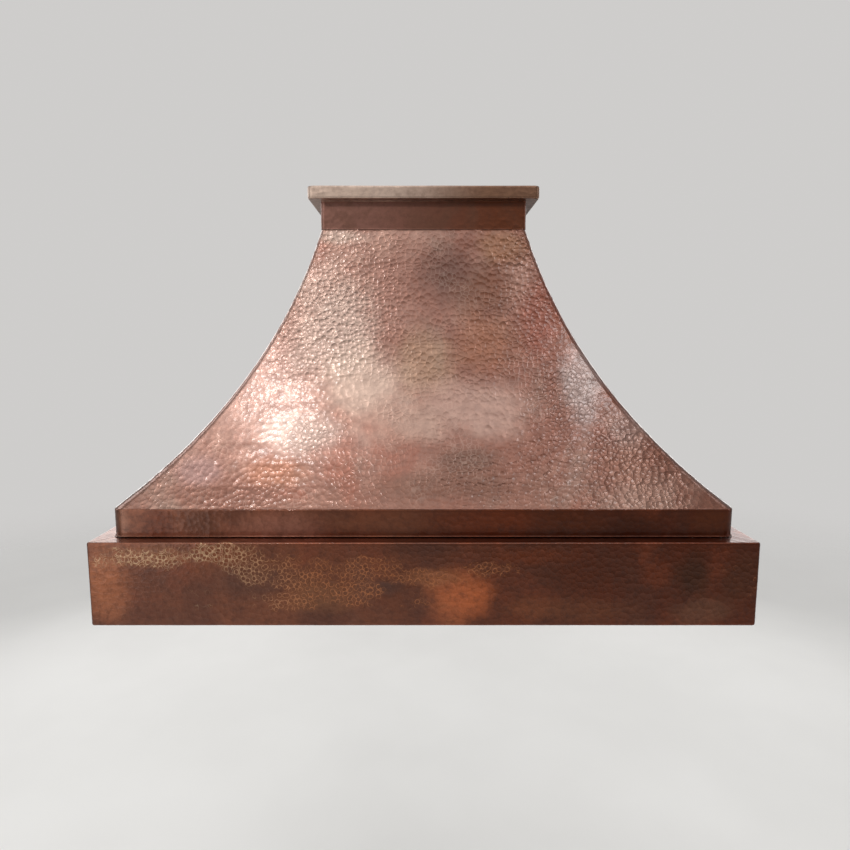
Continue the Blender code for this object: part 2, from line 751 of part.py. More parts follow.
def blower(galvanised, motor_grey, steel, plastic):
    low = (-BOX_X, -BOX_Y, HOPPER_TOP + GAP)
    shell = box("blower_box", low, (BOX_X, BOX_Y, BOX_TOP), galvanised)
    hollow_low = (-BOX_X + SHEET, -BOX_Y + SHEET, 0.10)
    cut_box(shell, hollow_low, (BOX_X - SHEET, BOX_Y - SHEET, BOX_TOP - SHEET))
    throat_low = (-SCROLL_HALF, SCROLL_Y + SCROLL_START / 2, BOX_TOP - 0.01)
    cut_box(shell, throat_low, (SCROLL_HALF, SCROLL_Y + SCROLL_END, BOX_TOP + 0.01))
    blower_housing(galvanised)
    inlet_ring("inlet_ring_left", -1, INLET_RADIUS, galvanised)
    inlet_ring("inlet_ring_right", 1, INLET_RADIUS, galvanised)
    blower_wheel(galvanised)
    motor_set(motor_grey, steel, plastic)


def damper_flap(name, side, radius, finish):
    """A half disc with two barrels round the damper pin. The other flap's barrels lie between them."""
    edge = 0.0056
    steps = 14
    swing = math.acos(edge / radius)
    points = []
    for n in range(steps + 1):
        angle = -swing + 2 * swing * n / steps
        points.append((side * radius * math.cos(angle), radius * math.sin(angle)))
    flap = move(flat_outline(name, points, 0.0012, finish), (0.0, 0.0, DAMPER_Z))
    barrel_length = 0.020
    for place in (-0.060, 0.020):
        y = place - side * barrel_length * 0.75
        barrel = move(rod("barrel", 0.0050, barrel_length, sides=12), (0.0, y, DAMPER_Z))
        boolean(flap, lie_along(barrel, "Y"), "UNION")
        low = (min(side * 0.0040, side * 0.0070), y - barrel_length / 2, DAMPER_Z - 0.0006)
        high = (max(side * 0.0040, side * 0.0070), y + barrel_length / 2, DAMPER_Z + 0.0006)
        boolean(flap, box("barrel_leaf", low, high), "UNION")
    return cut_round(flap, (0.0, 0.0, DAMPER_Z), 0.0034, 0.25, axis="Y")


def duct(galvanised, steel, rubber):
    inner = DUCT_RADIUS - SHEET
    base = BOX_TOP + GAP
    collar = [
        (DUCT_RADIUS, DAMPER_Z + 0.055),
        (DUCT_RADIUS, base + SHEET),
        (DUCT_RADIUS + 0.020, base + SHEET),
        (DUCT_RADIUS + 0.020, base),
        (inner, base),
        (inner, DAMPER_Z + 0.055),
    ]
    turned("damper_collar", collar, galvanised, steps=36, ring=True)
    seal_top = DAMPER_Z - 0.0006 - GAP
    seal = [
        (inner - GAP, seal_top),
        (inner - GAP, seal_top - 0.005),
        (inner - 0.006, seal_top - 0.005),
        (inner - 0.006, seal_top),
    ]
    ring = turned("damper_seal", seal, rubber, steps=36, ring=True)
    cut_box(ring, (-0.0036, -0.11, DAMPER_Z - 0.0036), (0.0036, 0.11, DAMPER_Z + 0.01))
    pin = rod("damper_pin", 0.003, 2 * (inner - GAP), steel, sides=16)
    move(lie_along(pin, "Y"), (0.0, 0.0, DAMPER_Z))
    damper_flap("damper_flap_left", -1, inner - 0.002, galvanised)
    damper_flap("damper_flap_right", 1, inner - 0.002, galvanised)
    pipe_in = DUCT_RADIUS + SLIP
    pipe = [(pipe_in + SHEET, TOP - 0.002), (pipe_in + SHEET, DAMPER_Z + 0.015)]
    pipe += [(pipe_in, DAMPER_Z + 0.015), (pipe_in, TOP - 0.002)]
    turned("duct_pipe", pipe, galvanised, steps=36, ring=True)


def wiring(steel, conduit_grey):
    """The junction box on the front of the blower box, and the conduit that comes up to it from the controls."""
    back = -BOX_Y - GAP
    z = 0.200
    case = box("junction_box", (-0.045, back - 0.042, z), (0.045, back, z + 0.065), steel)
    cut_box(case, (-0.0435, back - 0.050, z + 0.0015), (0.0435, back - 0.0015, z + 0.0635))
    cover_y = back - 0.042 - GAP
    box("junction_box_cover", (-0.047, cover_y - 0.0015, z - 0.002), (0.047, cover_y, z + 0.067), steel)
    start = Vector((0.030, -STRIP_Y, LINER_CEILING + SHEET + 0.040 + 3 * GAP))
    end = Vector((0.020, back - 0.020, z - 3 * GAP))
    steps = 14
    rise = end.z - start.z
    lead = Vector((0.0, 0.0, rise * 0.55))
    points = []
    for n in range(steps + 1):
        t = n / steps
        a, b = start + lead, end - lead
        point = start * (1 - t) ** 3 + a * 3 * t * (1 - t) ** 2 + b * 3 * t**2 * (1 - t) + end * t**3
        points.append(point)
    wire("power_conduit", points, 0.006, conduit_grey)


def main():
    clear_scene()
    copper = material("hammered_copper", (0.36, 0.14, 0.08), 1.0, 0.38)
    steel = material("painted_steel", (0.12, 0.12, 0.13), 0.6, 0.5)
    stainless = material("stainless_steel", (0.62, 0.62, 0.60), 1.0, 0.28)
    galvanised = material("galvanised_sheet", (0.55, 0.57, 0.58), 0.9, 0.45)
    dark_steel = material("black_steel", (0.05, 0.05, 0.055), 0.8, 0.35)
    motor_grey = material("motor_paint", (0.10, 0.11, 0.12), 0.3, 0.5)
    frosted = material("frosted_glass", (0.92, 0.90, 0.84), 0.0, 0.4)
    green = material("board_green", (0.03, 0.22, 0.09), 0.0, 0.45)
    knob_metal = material("button_metal", (0.70, 0.69, 0.67), 1.0, 0.25)
    rubber = material("seal_rubber", (0.03, 0.03, 0.03), 0.0, 0.8)
    plastic = material("capacitor_case", (0.80, 0.80, 0.78), 0.0, 0.4)
    conduit = material("conduit_metal", (0.50, 0.51, 0.52), 0.9, 0.4)
    canopy(copper)
    hanging_frame(steel)
    liner(stainless, galvanised)
    baffle_filters(stainless, dark_steel)
    lamps(stainless, frosted)
    controls(stainless, dark_steel, green, knob_metal)
    blower(galvanised, motor_grey, steel, plastic)
    duct(galvanised, steel, rubber)
    wiring(steel, conduit)


main()
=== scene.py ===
import json
import math

import bpy
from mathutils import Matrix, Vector


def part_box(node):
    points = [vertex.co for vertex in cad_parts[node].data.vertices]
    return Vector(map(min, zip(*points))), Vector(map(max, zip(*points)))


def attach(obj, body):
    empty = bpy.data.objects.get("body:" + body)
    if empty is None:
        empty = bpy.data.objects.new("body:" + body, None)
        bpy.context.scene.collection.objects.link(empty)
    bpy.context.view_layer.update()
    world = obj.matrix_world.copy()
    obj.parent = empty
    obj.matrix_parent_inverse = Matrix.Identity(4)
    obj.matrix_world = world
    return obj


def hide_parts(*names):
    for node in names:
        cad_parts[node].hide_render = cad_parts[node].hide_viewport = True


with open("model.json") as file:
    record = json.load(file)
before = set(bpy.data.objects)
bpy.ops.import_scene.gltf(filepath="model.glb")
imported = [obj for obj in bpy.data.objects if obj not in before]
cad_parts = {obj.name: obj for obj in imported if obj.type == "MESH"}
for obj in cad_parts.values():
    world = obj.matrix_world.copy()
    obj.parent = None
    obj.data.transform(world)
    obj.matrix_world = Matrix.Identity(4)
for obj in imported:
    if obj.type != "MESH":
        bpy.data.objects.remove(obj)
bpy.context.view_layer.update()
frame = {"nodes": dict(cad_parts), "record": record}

# Sheet copper, in metres
COPPER_WALL = 0.0012
MARK = 0.0084
EDGE = 0.003
BELL_RADIUS = 0.955
HIP = 0.02
LONGEST_EDGE = 0.007

# The far corner of each piece of the frame: half its width, half its depth, and its top
APRON_W, APRON_D, LEDGE_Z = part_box("apron_band")[1]
FASCIA_W, FASCIA_D, FOOT_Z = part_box("fascia_band")[1]
NECK_W, NECK_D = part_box("neck_collar")[1].xy
CAP_W, CAP_D, CEILING_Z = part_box("crown_cap")[1]
CROWN_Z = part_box("neck_collar")[0].z
SOFFIT_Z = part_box("crown_cap")[0].z

# Inside the hood
SHEET = 0.001
LINER_CEILING = 0.056
OPENING_X, OPENING_Y = 0.425, 0.188
FILTER_THICK = 0.012
BAFFLE_PITCH = 0.0405
LUG_X = 0.06075
HOOK_ROD_Y, HOOK_ROD_Z = 0.1785, 0.062
STRIP_Y = 0.24
LAMP_X, LAMP_R = 0.36, 0.0265
BUTTON_PITCH = 0.03
SCREW_X, SCREW_INSET = 0.42, 0.0185
CROSSWAYS = (0.0, math.pi / 2, 0.0)
TOUCHING = 0.0001


# ---------- bench tools


def edit_mesh():
    bpy.ops.object.mode_set(mode="EDIT")


def close_mesh():
    bpy.ops.object.mode_set(mode="OBJECT")


def select_all():
    bpy.ops.mesh.select_all(action="SELECT")


def stand_clear():
    """Nothing selected and in object mode, ready for a new primitive."""
    if bpy.context.mode != "OBJECT":
        close_mesh()
    bpy.ops.object.select_all(action="DESELECT")


def take(obj):
    stand_clear()
    obj.select_set(True)
    bpy.context.view_layer.objects.active = obj
    return obj


def name_piece(name):
    obj = bpy.context.object
    obj.name = name
    obj.data.name = name
    return obj


def fresh(name, primitive, **settings):
    """A new primitive under its name, with nothing else selected."""
    stand_clear()
    primitive(**settings)
    return name_piece(name)


def settle(obj):
    """The finished object's place goes into its mesh."""
    take(obj)
    bpy.ops.object.transform_apply(location=True, rotation=True, scale=True)
    return obj


def use_modifier(obj, modifier):
    take(obj)
    bpy.ops.object.modifier_apply(modifier=modifier.name)


def start_picking(obj, kind):
    """Only edges or only faces can be picked on obj, and none of them is."""
    take(obj)
    edit_mesh()
    bpy.ops.mesh.select_mode(type=kind)
    bpy.ops.mesh.select_all(action="DESELECT")
    close_mesh()


def pick_edges(obj, test):
    """In edit mode afterwards, with only the edges that pass test(a, b) selected."""
    start_picking(obj, "EDGE")
    points = obj.data.vertices
    for edge in obj.data.edges:
        a, b = edge.vertices
        edge.select = test(points[a], points[b])
    edit_mesh()


def pick_faces(obj, test):
    """In edit mode afterwards, with only the faces that pass the test selected."""
    start_picking(obj, "FACE")
    for face in obj.data.polygons:
        face.select = test(face)
    edit_mesh()


def smooth(obj, angle=35.0):
    take(obj)
    bpy.ops.object.shade_smooth_by_angle(angle=math.radians(angle))
    return obj


def thicken(obj, thickness, offset, inside=""):
    """Gives a skin its wall. inside names the group that the wall's other face goes into."""
    wall = obj.modifiers.new("wall", "SOLIDIFY")
    wall.thickness = thickness
    wall.offset = offset
    wall.shell_vertex_group = inside
    use_modifier(obj, wall)


def weld(gap):
    """Merges points closer than gap, turns the faces outwards, and leaves edit mode."""
    select_all()
    bpy.ops.mesh.remove_doubles(threshold=gap)
    bpy.ops.mesh.normals_make_consistent(inside=False)
    close_mesh()


def fit(obj, finish, body, node=None):
    """Gives a piece its finish and its body, and hides the CAD node it stands for."""
    obj.data.materials.clear()
    obj.data.materials.append(finish)
    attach(obj, body)
    if node:
        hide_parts(node)


# ---------- shader tools


class Mixer:
    """Puts a tree of nodes together, node by node. place is where each point of the piece lies."""

    def __init__(self, tree, place):
        self.tree = tree
        self.place = place

    def node(self, kind, inputs=None, **settings):
        made = self.tree.nodes.new(kind)
        for key, value in settings.items():
            setattr(made, key, value)
        for key, value in (inputs or {}).items():
            self.feed(made.inputs[key], value)
        return made

    def feed(self, socket, value):
        if isinstance(value, bpy.types.NodeSocket):
            self.tree.links.new(value, socket)
        elif isinstance(value, tuple) and len(value) == 3 and socket.type == "RGBA":
            socket.default_value = (*value, 1.0)
        else:
            socket.default_value = value

    def vector(self, operation, a, b=(0.0, 0.0, 0.0)):
        made = self.node("ShaderNodeVectorMath", {0: a, 1: b}, operation=operation)
        return made.outputs["Value" if operation == "LENGTH" else "Vector"]

    def scaled(self, a, scale):
        return self.node("ShaderNodeVectorMath", {0: a, "Scale": scale}, operation="SCALE").outputs["Vector"]

    def split(self, a):
        return self.node("ShaderNodeSeparateXYZ", {0: a}).outputs

    def noise(self, scale, detail=4.0, roughness=0.55, coords=None, distortion=0.0):
        inputs = {
            "Vector": coords or self.place,
            "Scale": scale,
            "Detail": detail,
            "Roughness": roughness,
            "Distortion": distortion,
        }
        return self.node("ShaderNodeTexNoise", inputs).outputs["Fac"]

    def range(self, value, low, high, to_low=0.0, to_high=1.0):
        inputs = {"Value": value, "From Min": low, "From Max": high, "To Min": to_low, "To Max": to_high}
        return self.node("ShaderNodeMapRange", inputs, interpolation_type="SMOOTHSTEP").outputs["Result"]

    def maths(self, operation, a, b=0.0, clamp=False):
        return self.node("ShaderNodeMath", {0: a, 1: b}, operation=operation, use_clamp=clamp).outputs[0]

    def product(self, a, b):
        return self.maths("MULTIPLY", a, b)


class Finish(Mixer):
    """A Mixer for a material, with its Principled shader."""

    def __init__(self, name):
        self.material = bpy.data.materials.new(name)
        self.material.use_nodes = True
        tree = self.material.node_tree
        self.shader = tree.nodes["Principled BSDF"]
        super().__init__(tree, tree.nodes.new("ShaderNodeTexCoord").outputs["Object"])

    def stretched(self, scale, shift=(0.0, 0.0, 0.0)):
        inputs = {"Vector": self.place, "Location": shift, "Scale": scale}
        return self.node("ShaderNodeMapping", inputs).outputs["Vector"]

    def mix(self, factor, a, b, blend="MIX"):
        inputs = {"Factor": factor, 6: a, 7: b}
        return self.node("ShaderNodeMix", inputs, data_type="RGBA", blend_type=blend).outputs[2]

    def near(self, centre, reach, ragged=0.35, scale=14.0):
        """1 at a point on the hood, fading to 0 at reach, its radius on each axis, with a ragged edge."""
        far = self.vector("LENGTH", self.vector("DIVIDE", self.vector("SUBTRACT", self.place, centre), reach))
        wander = self.product(self.maths("SUBTRACT", self.noise(scale), 0.5), ragged * 2)
        return self.range(self.maths("ADD", far, wander), 1.0, 0.25)

    def bump(self, height, depth, under=None):
        inputs = {"Strength": 1.0, "Distance": depth, "Height": height}
        if under is not None:
            inputs["Normal"] = under
        return self.node("ShaderNodeBump", inputs).outputs["Normal"]

    def finished(self, colour, rough, marks=None, metal=0.0, **others):
        sockets = {"Base Color": colour, "Roughness": rough, "Metallic": metal}
        sockets.update((name.replace("_", " "), value) for name, value in others.items())
        if marks is not None:
            sockets["Normal"] = marks
        for name, value in sockets.items():
            self.feed(self.shader.inputs[name], value)
        return self.material


def srgb(red, green, blue):
    """A colour, 0 to 255, made linear."""
    return tuple(
        (c / 12.92 if c <= 0.04045 else ((c + 0.055) / 1.055) ** 2.4)
        for c in (red / 255, green / 255, blue / 255)
    )


# ---------- hammered copper finishes


def blows_at(m, coords, flat, feature):
    """The voronoi cells of the blows, one cell to a mark."""
    inputs = {"Vector": coords, "Scale": 1.0 / MARK, "Randomness": 0.9}
    dimensions = "2D" if flat else "3D"
    return m.node("ShaderNodeTexVoronoi", inputs, feature=feature, voronoi_dimensions=dimensions).outputs


def struck_field(m, flat, roughness=0.55):
    """Where the hammer's blows fell: the depth of the bowls, the cells, and the coordinates they lie on.

    A flat field runs round the upright bands; the other one is solid, for the bell's curves."""
    warp = m.node("ShaderNodeTexNoise", {"Vector": m.place, "Scale": 30.0, "Detail": 1.0})
    coords = m.vector("ADD", m.place, m.scaled(warp.outputs["Color"], 0.006))
    if flat:
        at = m.split(coords)
        round_it = m.maths("ADD", at["X"], at["Y"])
        coords = m.node("ShaderNodeCombineXYZ", {"X": round_it, "Y": at["Z"]}).outputs[0]
    cells = blows_at(m, coords, flat, "F1")
    hit = m.range(m.noise(4.0, 1.0, roughness), 0.4, 0.6, 0.45, 1.15)
    return m.product(m.maths("POWER", cells["Distance"], 2.0), hit), cells, coords


def ridges(m, coords, flat):
    """How far each point is from the nearest ridge between two blows."""
    return blows_at(m, coords, flat, "DISTANCE_TO_EDGE")["Distance"]


def painted(m, colour, stains_and_sheen):
    """Lays patches of stain and of painted sheen over a colour. Each is (centre, reach on each axis, tone,
    strength).
    """
    for centre, reach, tone, strength in stains_and_sheen:
        spot = m.near(centre, reach, 0.5, 15.0)
        colour = m.mix(m.product(spot, strength), colour, srgb(*tone))
    return colour


def clouded(m, colour, *clouds):
    """Lays drifting clouds over a colour. Each is (tone, scale, shift, where from, where to, strength)."""
    for tone, scale, shift, low, high, most in clouds:
        cloud = m.noise(scale, 5.0, 0.6, coords=m.stretched((1.0, 1.0, 0.7), shift), distortion=0.5)
        colour = m.mix(m.range(cloud, low, high, 0.0, most), colour, srgb(*tone))
    return colour


def fine_grain(m):
    """The tooth of the bare sheet, under the blows."""
    return m.bump(m.noise(420.0, 3.0, 0.6), 0.00004)


def lacquered(m, colour, rough, marks, gloss):
    """The finish every copper sheet ends with: dark metal under a clear lacquer that follows the blows."""
    return m.finished(colour, rough, marks, 1.0, Coat_Weight=gloss, Coat_Roughness=0.13, Coat_Normal=marks)


def bell_copper():
    m = Finish("bell_copper")
    bowl, _, coords = struck_field(m, flat=False)
    ridge = ridges(m, coords, flat=False)
    at = m.split(m.place)
    # Lighter towards the left: partly the patina's own tone, partly painted sheen where the light from the
    # left falls.
    colour = m.mix(m.range(at["X"], 0.16, -0.34), srgb(130, 82, 66), srgb(182, 142, 128))
    colour = m.mix(m.range(at["Z"], 0.3, 0.19, 0.0, 0.8), colour, srgb(134, 92, 76))
    colour = clouded(
        m,
        colour,
        ((132, 84, 68), 5.0, (0, 0, 0), 0.42, 0.64, 0.55),
        ((176, 138, 122), 8.0, (3, 1, 2), 0.5, 0.68, 0.55),
        ((150, 82, 60), 9.0, (7, 4, 1), 0.54, 0.7, 0.45),
        ((134, 116, 104), 7.0, (2, 8, 5), 0.54, 0.7, 0.5),
    )
    colour = painted(m, colour, BELL_STAINS_AND_SHEEN)
    fine = m.noise(70.0, 5.0, 0.65)
    colour = m.mix(m.range(fine, 0.35, 0.75, 0.0, 0.3), colour, m.mix(0.6, colour, srgb(84, 52, 42)))
    # Lighter ridges between the blows: partly patina rubbed off the ridges, partly painted highlight where
    # the ridges catch the light. The patch at the upper left is painted highlight only.
    rubbed_and_glinting = m.range(m.noise(12.0, 3.0), 0.46, 0.66, 0.0, 0.12)
    glint_patch = m.near((-0.15, -0.2, 0.5), (0.1, 0.2, 0.12), 0.6, 16.0)
    rubbed_and_glinting = m.maths("MAXIMUM", rubbed_and_glinting, m.product(glint_patch, 0.3))
    colour = m.mix(m.product(m.range(ridge, 0.11, 0.0), rubbed_and_glinting), colour, srgb(226, 200, 184))
    rough = m.range(fine, 0.3, 0.7, 0.3, 0.4)
    firm = m.range(m.noise(6.0, 2.0, coords=m.stretched((1, 1, 1), shift=(4, 4, 4))), 0.38, 0.6, 0.25, 1.0)
    for centre, size, most in FIRM_BLOWS:
        firm = m.maths("MAXIMUM", firm, m.product(m.near(centre, size, 0.4, 12.0), most))
    for centre, size, least in SOFT_BLOWS:
        calm = m.maths("SUBTRACT", 1.0, m.product(m.near(centre, size, 0.4, 12.0), 1.0 - least))
        firm = m.product(firm, calm)
    rim = m.product(m.range(ridge, 0.2, 0.0), firm)
    grain = fine_grain(m)
    dished = m.bump(m.product(bowl, firm), 0.00036, under=grain)
    marks = m.bump(rim, 0.00012, under=dished)
    return lacquered(m, colour, rough, marks, 0.8)


# Where the blows on the bell are firm, and where they are soft: centre, reach on each axis, strength
FIRM_BLOWS = [
    ((-0.13, -0.19, 0.5), (0.11, 0.2, 0.14), 1.5),
    ((0.08, -0.2, 0.44), (0.12, 0.2, 0.14), 1.0),
    ((0.22, -0.22, 0.36), (0.1, 0.2, 0.1), 1.3),
    ((-0.19, -0.25, 0.29), (0.07, 0.2, 0.04), 1.3),
]
SOFT_BLOWS = [
    ((-0.33, -0.27, 0.28), (0.13, 0.2, 0.13), 0.2),
    ((-0.16, -0.23, 0.37), (0.08, 0.2, 0.05), 0.3),
    ((-0.09, -0.24, 0.31), (0.05, 0.2, 0.05), 0.3),
]
# Stains on the bell's front, with painted sheen on its left side where the light falls: centre, reach on each
# axis, tone, strength
BELL_STAINS_AND_SHEEN = [
    # The first five rows are painted sheen: pale patches where the light from the left falls on the bell.
    ((-0.27, -0.23, 0.38), (0.13, 0.3, 0.12), (196, 158, 146), 0.6),
    ((-0.16, -0.18, 0.48), (0.1, 0.3, 0.14), (204, 176, 162), 0.75),
    ((-0.1, -0.21, 0.38), (0.11, 0.3, 0.1), (200, 174, 158), 0.75),
    ((-0.2, -0.25, 0.3), (0.09, 0.3, 0.05), (208, 182, 170), 0.7),
    ((-0.15, -0.16, 0.64), (0.07, 0.3, 0.02), (190, 166, 152), 0.7),
    ((0.05, -0.17, 0.575), (0.09, 0.3, 0.07), (96, 58, 46), 0.85),
    ((0.14, -0.16, 0.62), (0.06, 0.3, 0.04), (146, 104, 74), 0.6),
    ((0.11, -0.18, 0.54), (0.08, 0.3, 0.07), (112, 66, 44), 0.75),
    ((0.2, -0.19, 0.5), (0.06, 0.3, 0.1), (136, 72, 54), 0.7),
    ((0.11, -0.2, 0.45), (0.08, 0.3, 0.07), (152, 98, 70), 0.6),
    ((0.00, -0.21, 0.42), (0.08, 0.3, 0.09), (168, 134, 108), 0.6),
    ((0.08, -0.23, 0.34), (0.15, 0.3, 0.07), (180, 146, 132), 0.75),
    ((-0.03, -0.24, 0.32), (0.1, 0.3, 0.05), (178, 146, 130), 0.6),
    ((0.27, -0.22, 0.38), (0.05, 0.3, 0.09), (168, 150, 144), 0.7),
    ((0.34, -0.25, 0.31), (0.05, 0.3, 0.05), (160, 130, 120), 0.6),
    ((0.075, -0.27, 0.258), (0.08, 0.3, 0.028), (104, 72, 58), 0.75),
    ((0.04, -0.29, 0.222), (0.22, 0.3, 0.035), (112, 74, 58), 0.75),
    ((-0.25, -0.28, 0.24), (0.08, 0.3, 0.03), (176, 116, 86), 0.5),
    ((-0.37, -0.28, 0.24), (0.06, 0.3, 0.03), (170, 138, 134), 0.5),
    ((0.34, -0.28, 0.25), (0.06, 0.3, 0.04), (146, 98, 80), 0.5),
]


def band_copper(name, ringed):
    """The dark finish of the upright bands. ringed adds the gilt rings that bare round the blows."""
    m = Finish(name)
    bowl, cells, coords = struck_field(m, flat=True)
    ridge = ridges(m, coords, flat=True)
    x = m.split(m.place)["X"]
    colour = m.mix(m.range(x, -0.4, 0.42), srgb(132, 80, 58), srgb(104, 50, 27))
    colour = clouded(
        m,
        colour,
        ((92, 58, 48), 7.0, (0, 0, 0), 0.42, 0.62, 0.6),
        ((140, 76, 52), 10.0, (5, 2, 1), 0.5, 0.68, 0.6),
        ((116, 80, 66), 8.0, (9, 2, 5), 0.52, 0.68, 0.5),
    )
    colour = painted(m, colour, BAND_STAINS_AND_SHEEN[name])
    warm = m.range(x, -0.02, 0.16, 0.0, 0.75)
    colour = m.mix(warm, colour, (1.0, 0.8, 0.56), "MULTIPLY")
    fine = m.noise(90.0, 5.0, 0.7)
    colour = m.mix(m.range(fine, 0.4, 0.75, 0.0, 0.45), colour, srgb(66, 38, 30))
    if ringed:
        drift = m.noise(5.0, 4.0, 0.6, coords=m.stretched((0.7, 0.7, 2.0), shift=(2.3, 0, 4)))
        where = m.range(drift, 0.55, 0.7, 0.0, 0.6)
        for centre, size in RINGED:
            where = m.maths("MAXIMUM", where, m.near(centre, size, 0.9, 22.0))
        chance = m.product(m.split(cells["Color"])["X"], 0.55)
        where = m.range(m.maths("ADD", where, chance), 0.5, 1.15)
        circle = m.range(m.maths("ABSOLUTE", m.maths("SUBTRACT", cells["Distance"], 0.43)), 0.11, 0.02)
        seam = m.range(ridge, 0.1, 0.02)
        branching = m.range(x, -0.24, -0.36, 0.25, 1.0)
        rings = m.maths("ADD", m.product(seam, branching), circle, clamp=True)
        rings = m.product(rings, m.range(m.noise(160.0, 2.0), 0.34, 0.6, 0.25, 1.0))
        gilt = m.mix(m.range(x, -0.36, -0.16), srgb(206, 170, 134), srgb(196, 124, 80))
        glow = m.mix(m.product(where, 0.18), colour, srgb(150, 92, 58))
        colour = m.mix(m.product(rings, m.product(where, 0.85)), glow, gilt)
    rough = m.range(fine, 0.3, 0.7, 0.34, 0.46)
    depth = 0.00014 if ringed else 0.00006
    soft = m.bump(bowl, depth, under=fine_grain(m))
    marks = m.bump(m.range(ridge, 0.2, 0.0), depth * 0.4, under=soft)
    return lacquered(m, colour, rough, marks, 0.5)


def crown_copper():
    """The neck and the cap: greyer on the left and browner on the right, and smoother than the bell."""
    m = Finish("crown_copper")
    bowl = struck_field(m, flat=True)[0]
    at = m.split(m.place)
    x = at["X"]
    colour = m.mix(m.range(x, -0.08, 0.12), srgb(206, 182, 166), srgb(138, 102, 80))
    low = m.range(at["Z"], SOFFIT_Z + 0.001, SOFFIT_Z - 0.001)
    neck_tone = m.mix(m.range(x, -0.18, 0.16), srgb(146, 104, 92), srgb(114, 62, 38))
    colour = m.mix(low, colour, neck_tone)
    colour = clouded(m, colour, ((112, 78, 62), 14.0, (1, 2, 3), 0.46, 0.66, 0.5))
    fine = m.noise(90.0, 5.0, 0.7)
    colour = m.mix(m.range(fine, 0.4, 0.75, 0.0, 0.4), colour, srgb(84, 56, 46))
    rough = m.range(fine, 0.3, 0.7, 0.38, 0.48)
    marks = m.bump(bowl, 0.0001, under=fine_grain(m))
    return lacquered(m, colour, rough, marks, 0.5)


def on_face(y, marks):
    """Marks on an upright face, given by their x and z alone, placed on the face that stands at y."""
    return [((x, y, z), (wide, 0.1, high), *rest) for (x, z), (wide, high), *rest in marks]


# Stains on the bands' fronts, and one painted highlight on the fascia's rounded left corner: centre and
# reach, both across and up, then tone and strength
BAND_STAINS_AND_SHEEN = {
    "apron_copper": on_face(-0.343, [
        ((-0.505, 0.07), (0.045, 0.08), (168, 104, 72), 0.8),
        ((-0.44, 0.115), (0.1, 0.025), (146, 96, 68), 0.6),
        ((-0.27, 0.075), (0.11, 0.04), (104, 70, 58), 0.7),
        ((-0.17, 0.05), (0.07, 0.04), (142, 94, 64), 0.6),
        ((0.06, 0.05), (0.075, 0.06), (208, 118, 74), 0.85),
        ((0.02, 0.08), (0.06, 0.02), (172, 110, 76), 0.6),
        ((0.00, 0.128), (0.1, 0.014), (96, 56, 42), 0.6),
        ((0.16, 0.115), (0.1, 0.02), (132, 68, 38), 0.6),
        ((-0.06, 0.066), (0.035, 0.02), (88, 62, 54), 0.7),
        ((0.17, 0.03), (0.07, 0.028), (140, 86, 60), 0.6),
        ((0.26, 0.08), (0.1, 0.045), (96, 48, 26), 0.6),
        ((0.25, 0.025), (0.12, 0.03), (122, 76, 54), 0.6),
        ((0.37, 0.085), (0.035, 0.03), (128, 66, 40), 0.7),
        ((0.43, 0.08), (0.045, 0.06), (74, 46, 30), 0.8),
        ((0.5, 0.07), (0.05, 0.07), (92, 54, 36), 0.8),
        ((0.45, 0.026), (0.07, 0.03), (120, 88, 74), 0.6),
    ]),
    "fascia_copper": on_face(-0.315, [
        # Painted highlight where the light picks out the fascia's rounded left corner.
        ((-0.49, 0.16), (0.022, 0.06), (148, 104, 84), 0.8),
        ((-0.43, 0.16), (0.04, 0.06), (110, 56, 34), 0.85),
        ((-0.36, 0.165), (0.04, 0.04), (100, 64, 50), 0.7),
        ((-0.24, 0.155), (0.11, 0.04), (170, 112, 92), 0.75),
        ((-0.08, 0.16), (0.12, 0.04), (142, 86, 60), 0.65),
        ((0.1, 0.16), (0.12, 0.04), (134, 66, 36), 0.7),
        ((0.24, 0.16), (0.09, 0.04), (104, 54, 30), 0.7),
        ((0.34, 0.155), (0.07, 0.04), (80, 40, 22), 0.8),
        ((0.47, 0.16), (0.05, 0.04), (114, 66, 42), 0.6),
    ]),
}
RINGED = on_face(-0.343, [
    ((-0.45, 0.112), (0.11, 0.024)),
    ((-0.33, 0.12), (0.13, 0.022)),
    ((-0.26, 0.098), (0.1, 0.03)),
    ((-0.2, 0.078), (0.11, 0.038)),
    ((-0.21, 0.046), (0.1, 0.024)),
    ((-0.11, 0.092), (0.12, 0.032)),
    ((-0.12, 0.062), (0.1, 0.034)),
    ((0.00, 0.082), (0.12, 0.026)),
    ((0.1, 0.094), (0.1, 0.02)),
])


# ---------- finishes inside the hood


def brushed_stainless(name, grain):
    """Stainless sheet with fine strokes: grain is how many there are to the metre on each axis."""
    m = Finish(name)
    strokes = m.noise(1.0, 4.0, 0.6, coords=m.stretched(grain))
    handled = m.noise(6.0, 4.0, 0.6)
    colour = m.mix(m.range(strokes, 0.3, 0.7), srgb(176, 176, 172), srgb(206, 206, 202))
    colour = m.mix(m.range(handled, 0.45, 0.72, 0.0, 0.4), colour, srgb(160, 159, 154))
    rough = m.maths("ADD", m.range(strokes, 0.3, 0.7, 0.26, 0.36), m.range(handled, 0.42, 0.7, 0.0, 0.1))
    return m.finished(colour, rough, m.bump(strokes, 0.00003), 1.0)


def spangled_zinc():
    m = Finish("spangled_zinc")
    flakes = m.node("ShaderNodeTexVoronoi", {"Vector": m.place, "Scale": 95.0})
    chance = m.split(flakes.outputs["Color"])
    colour = m.mix(chance["X"], srgb(150, 156, 158), srgb(194, 198, 200))
    colour = m.mix(m.range(m.noise(8.0), 0.5, 0.7, 0.0, 0.4), colour, srgb(138, 142, 142))
    rough = m.range(chance["Y"], 0.0, 1.0, 0.36, 0.52)
    return m.finished(colour, rough, m.bump(chance["X"], 0.00002), 0.9)


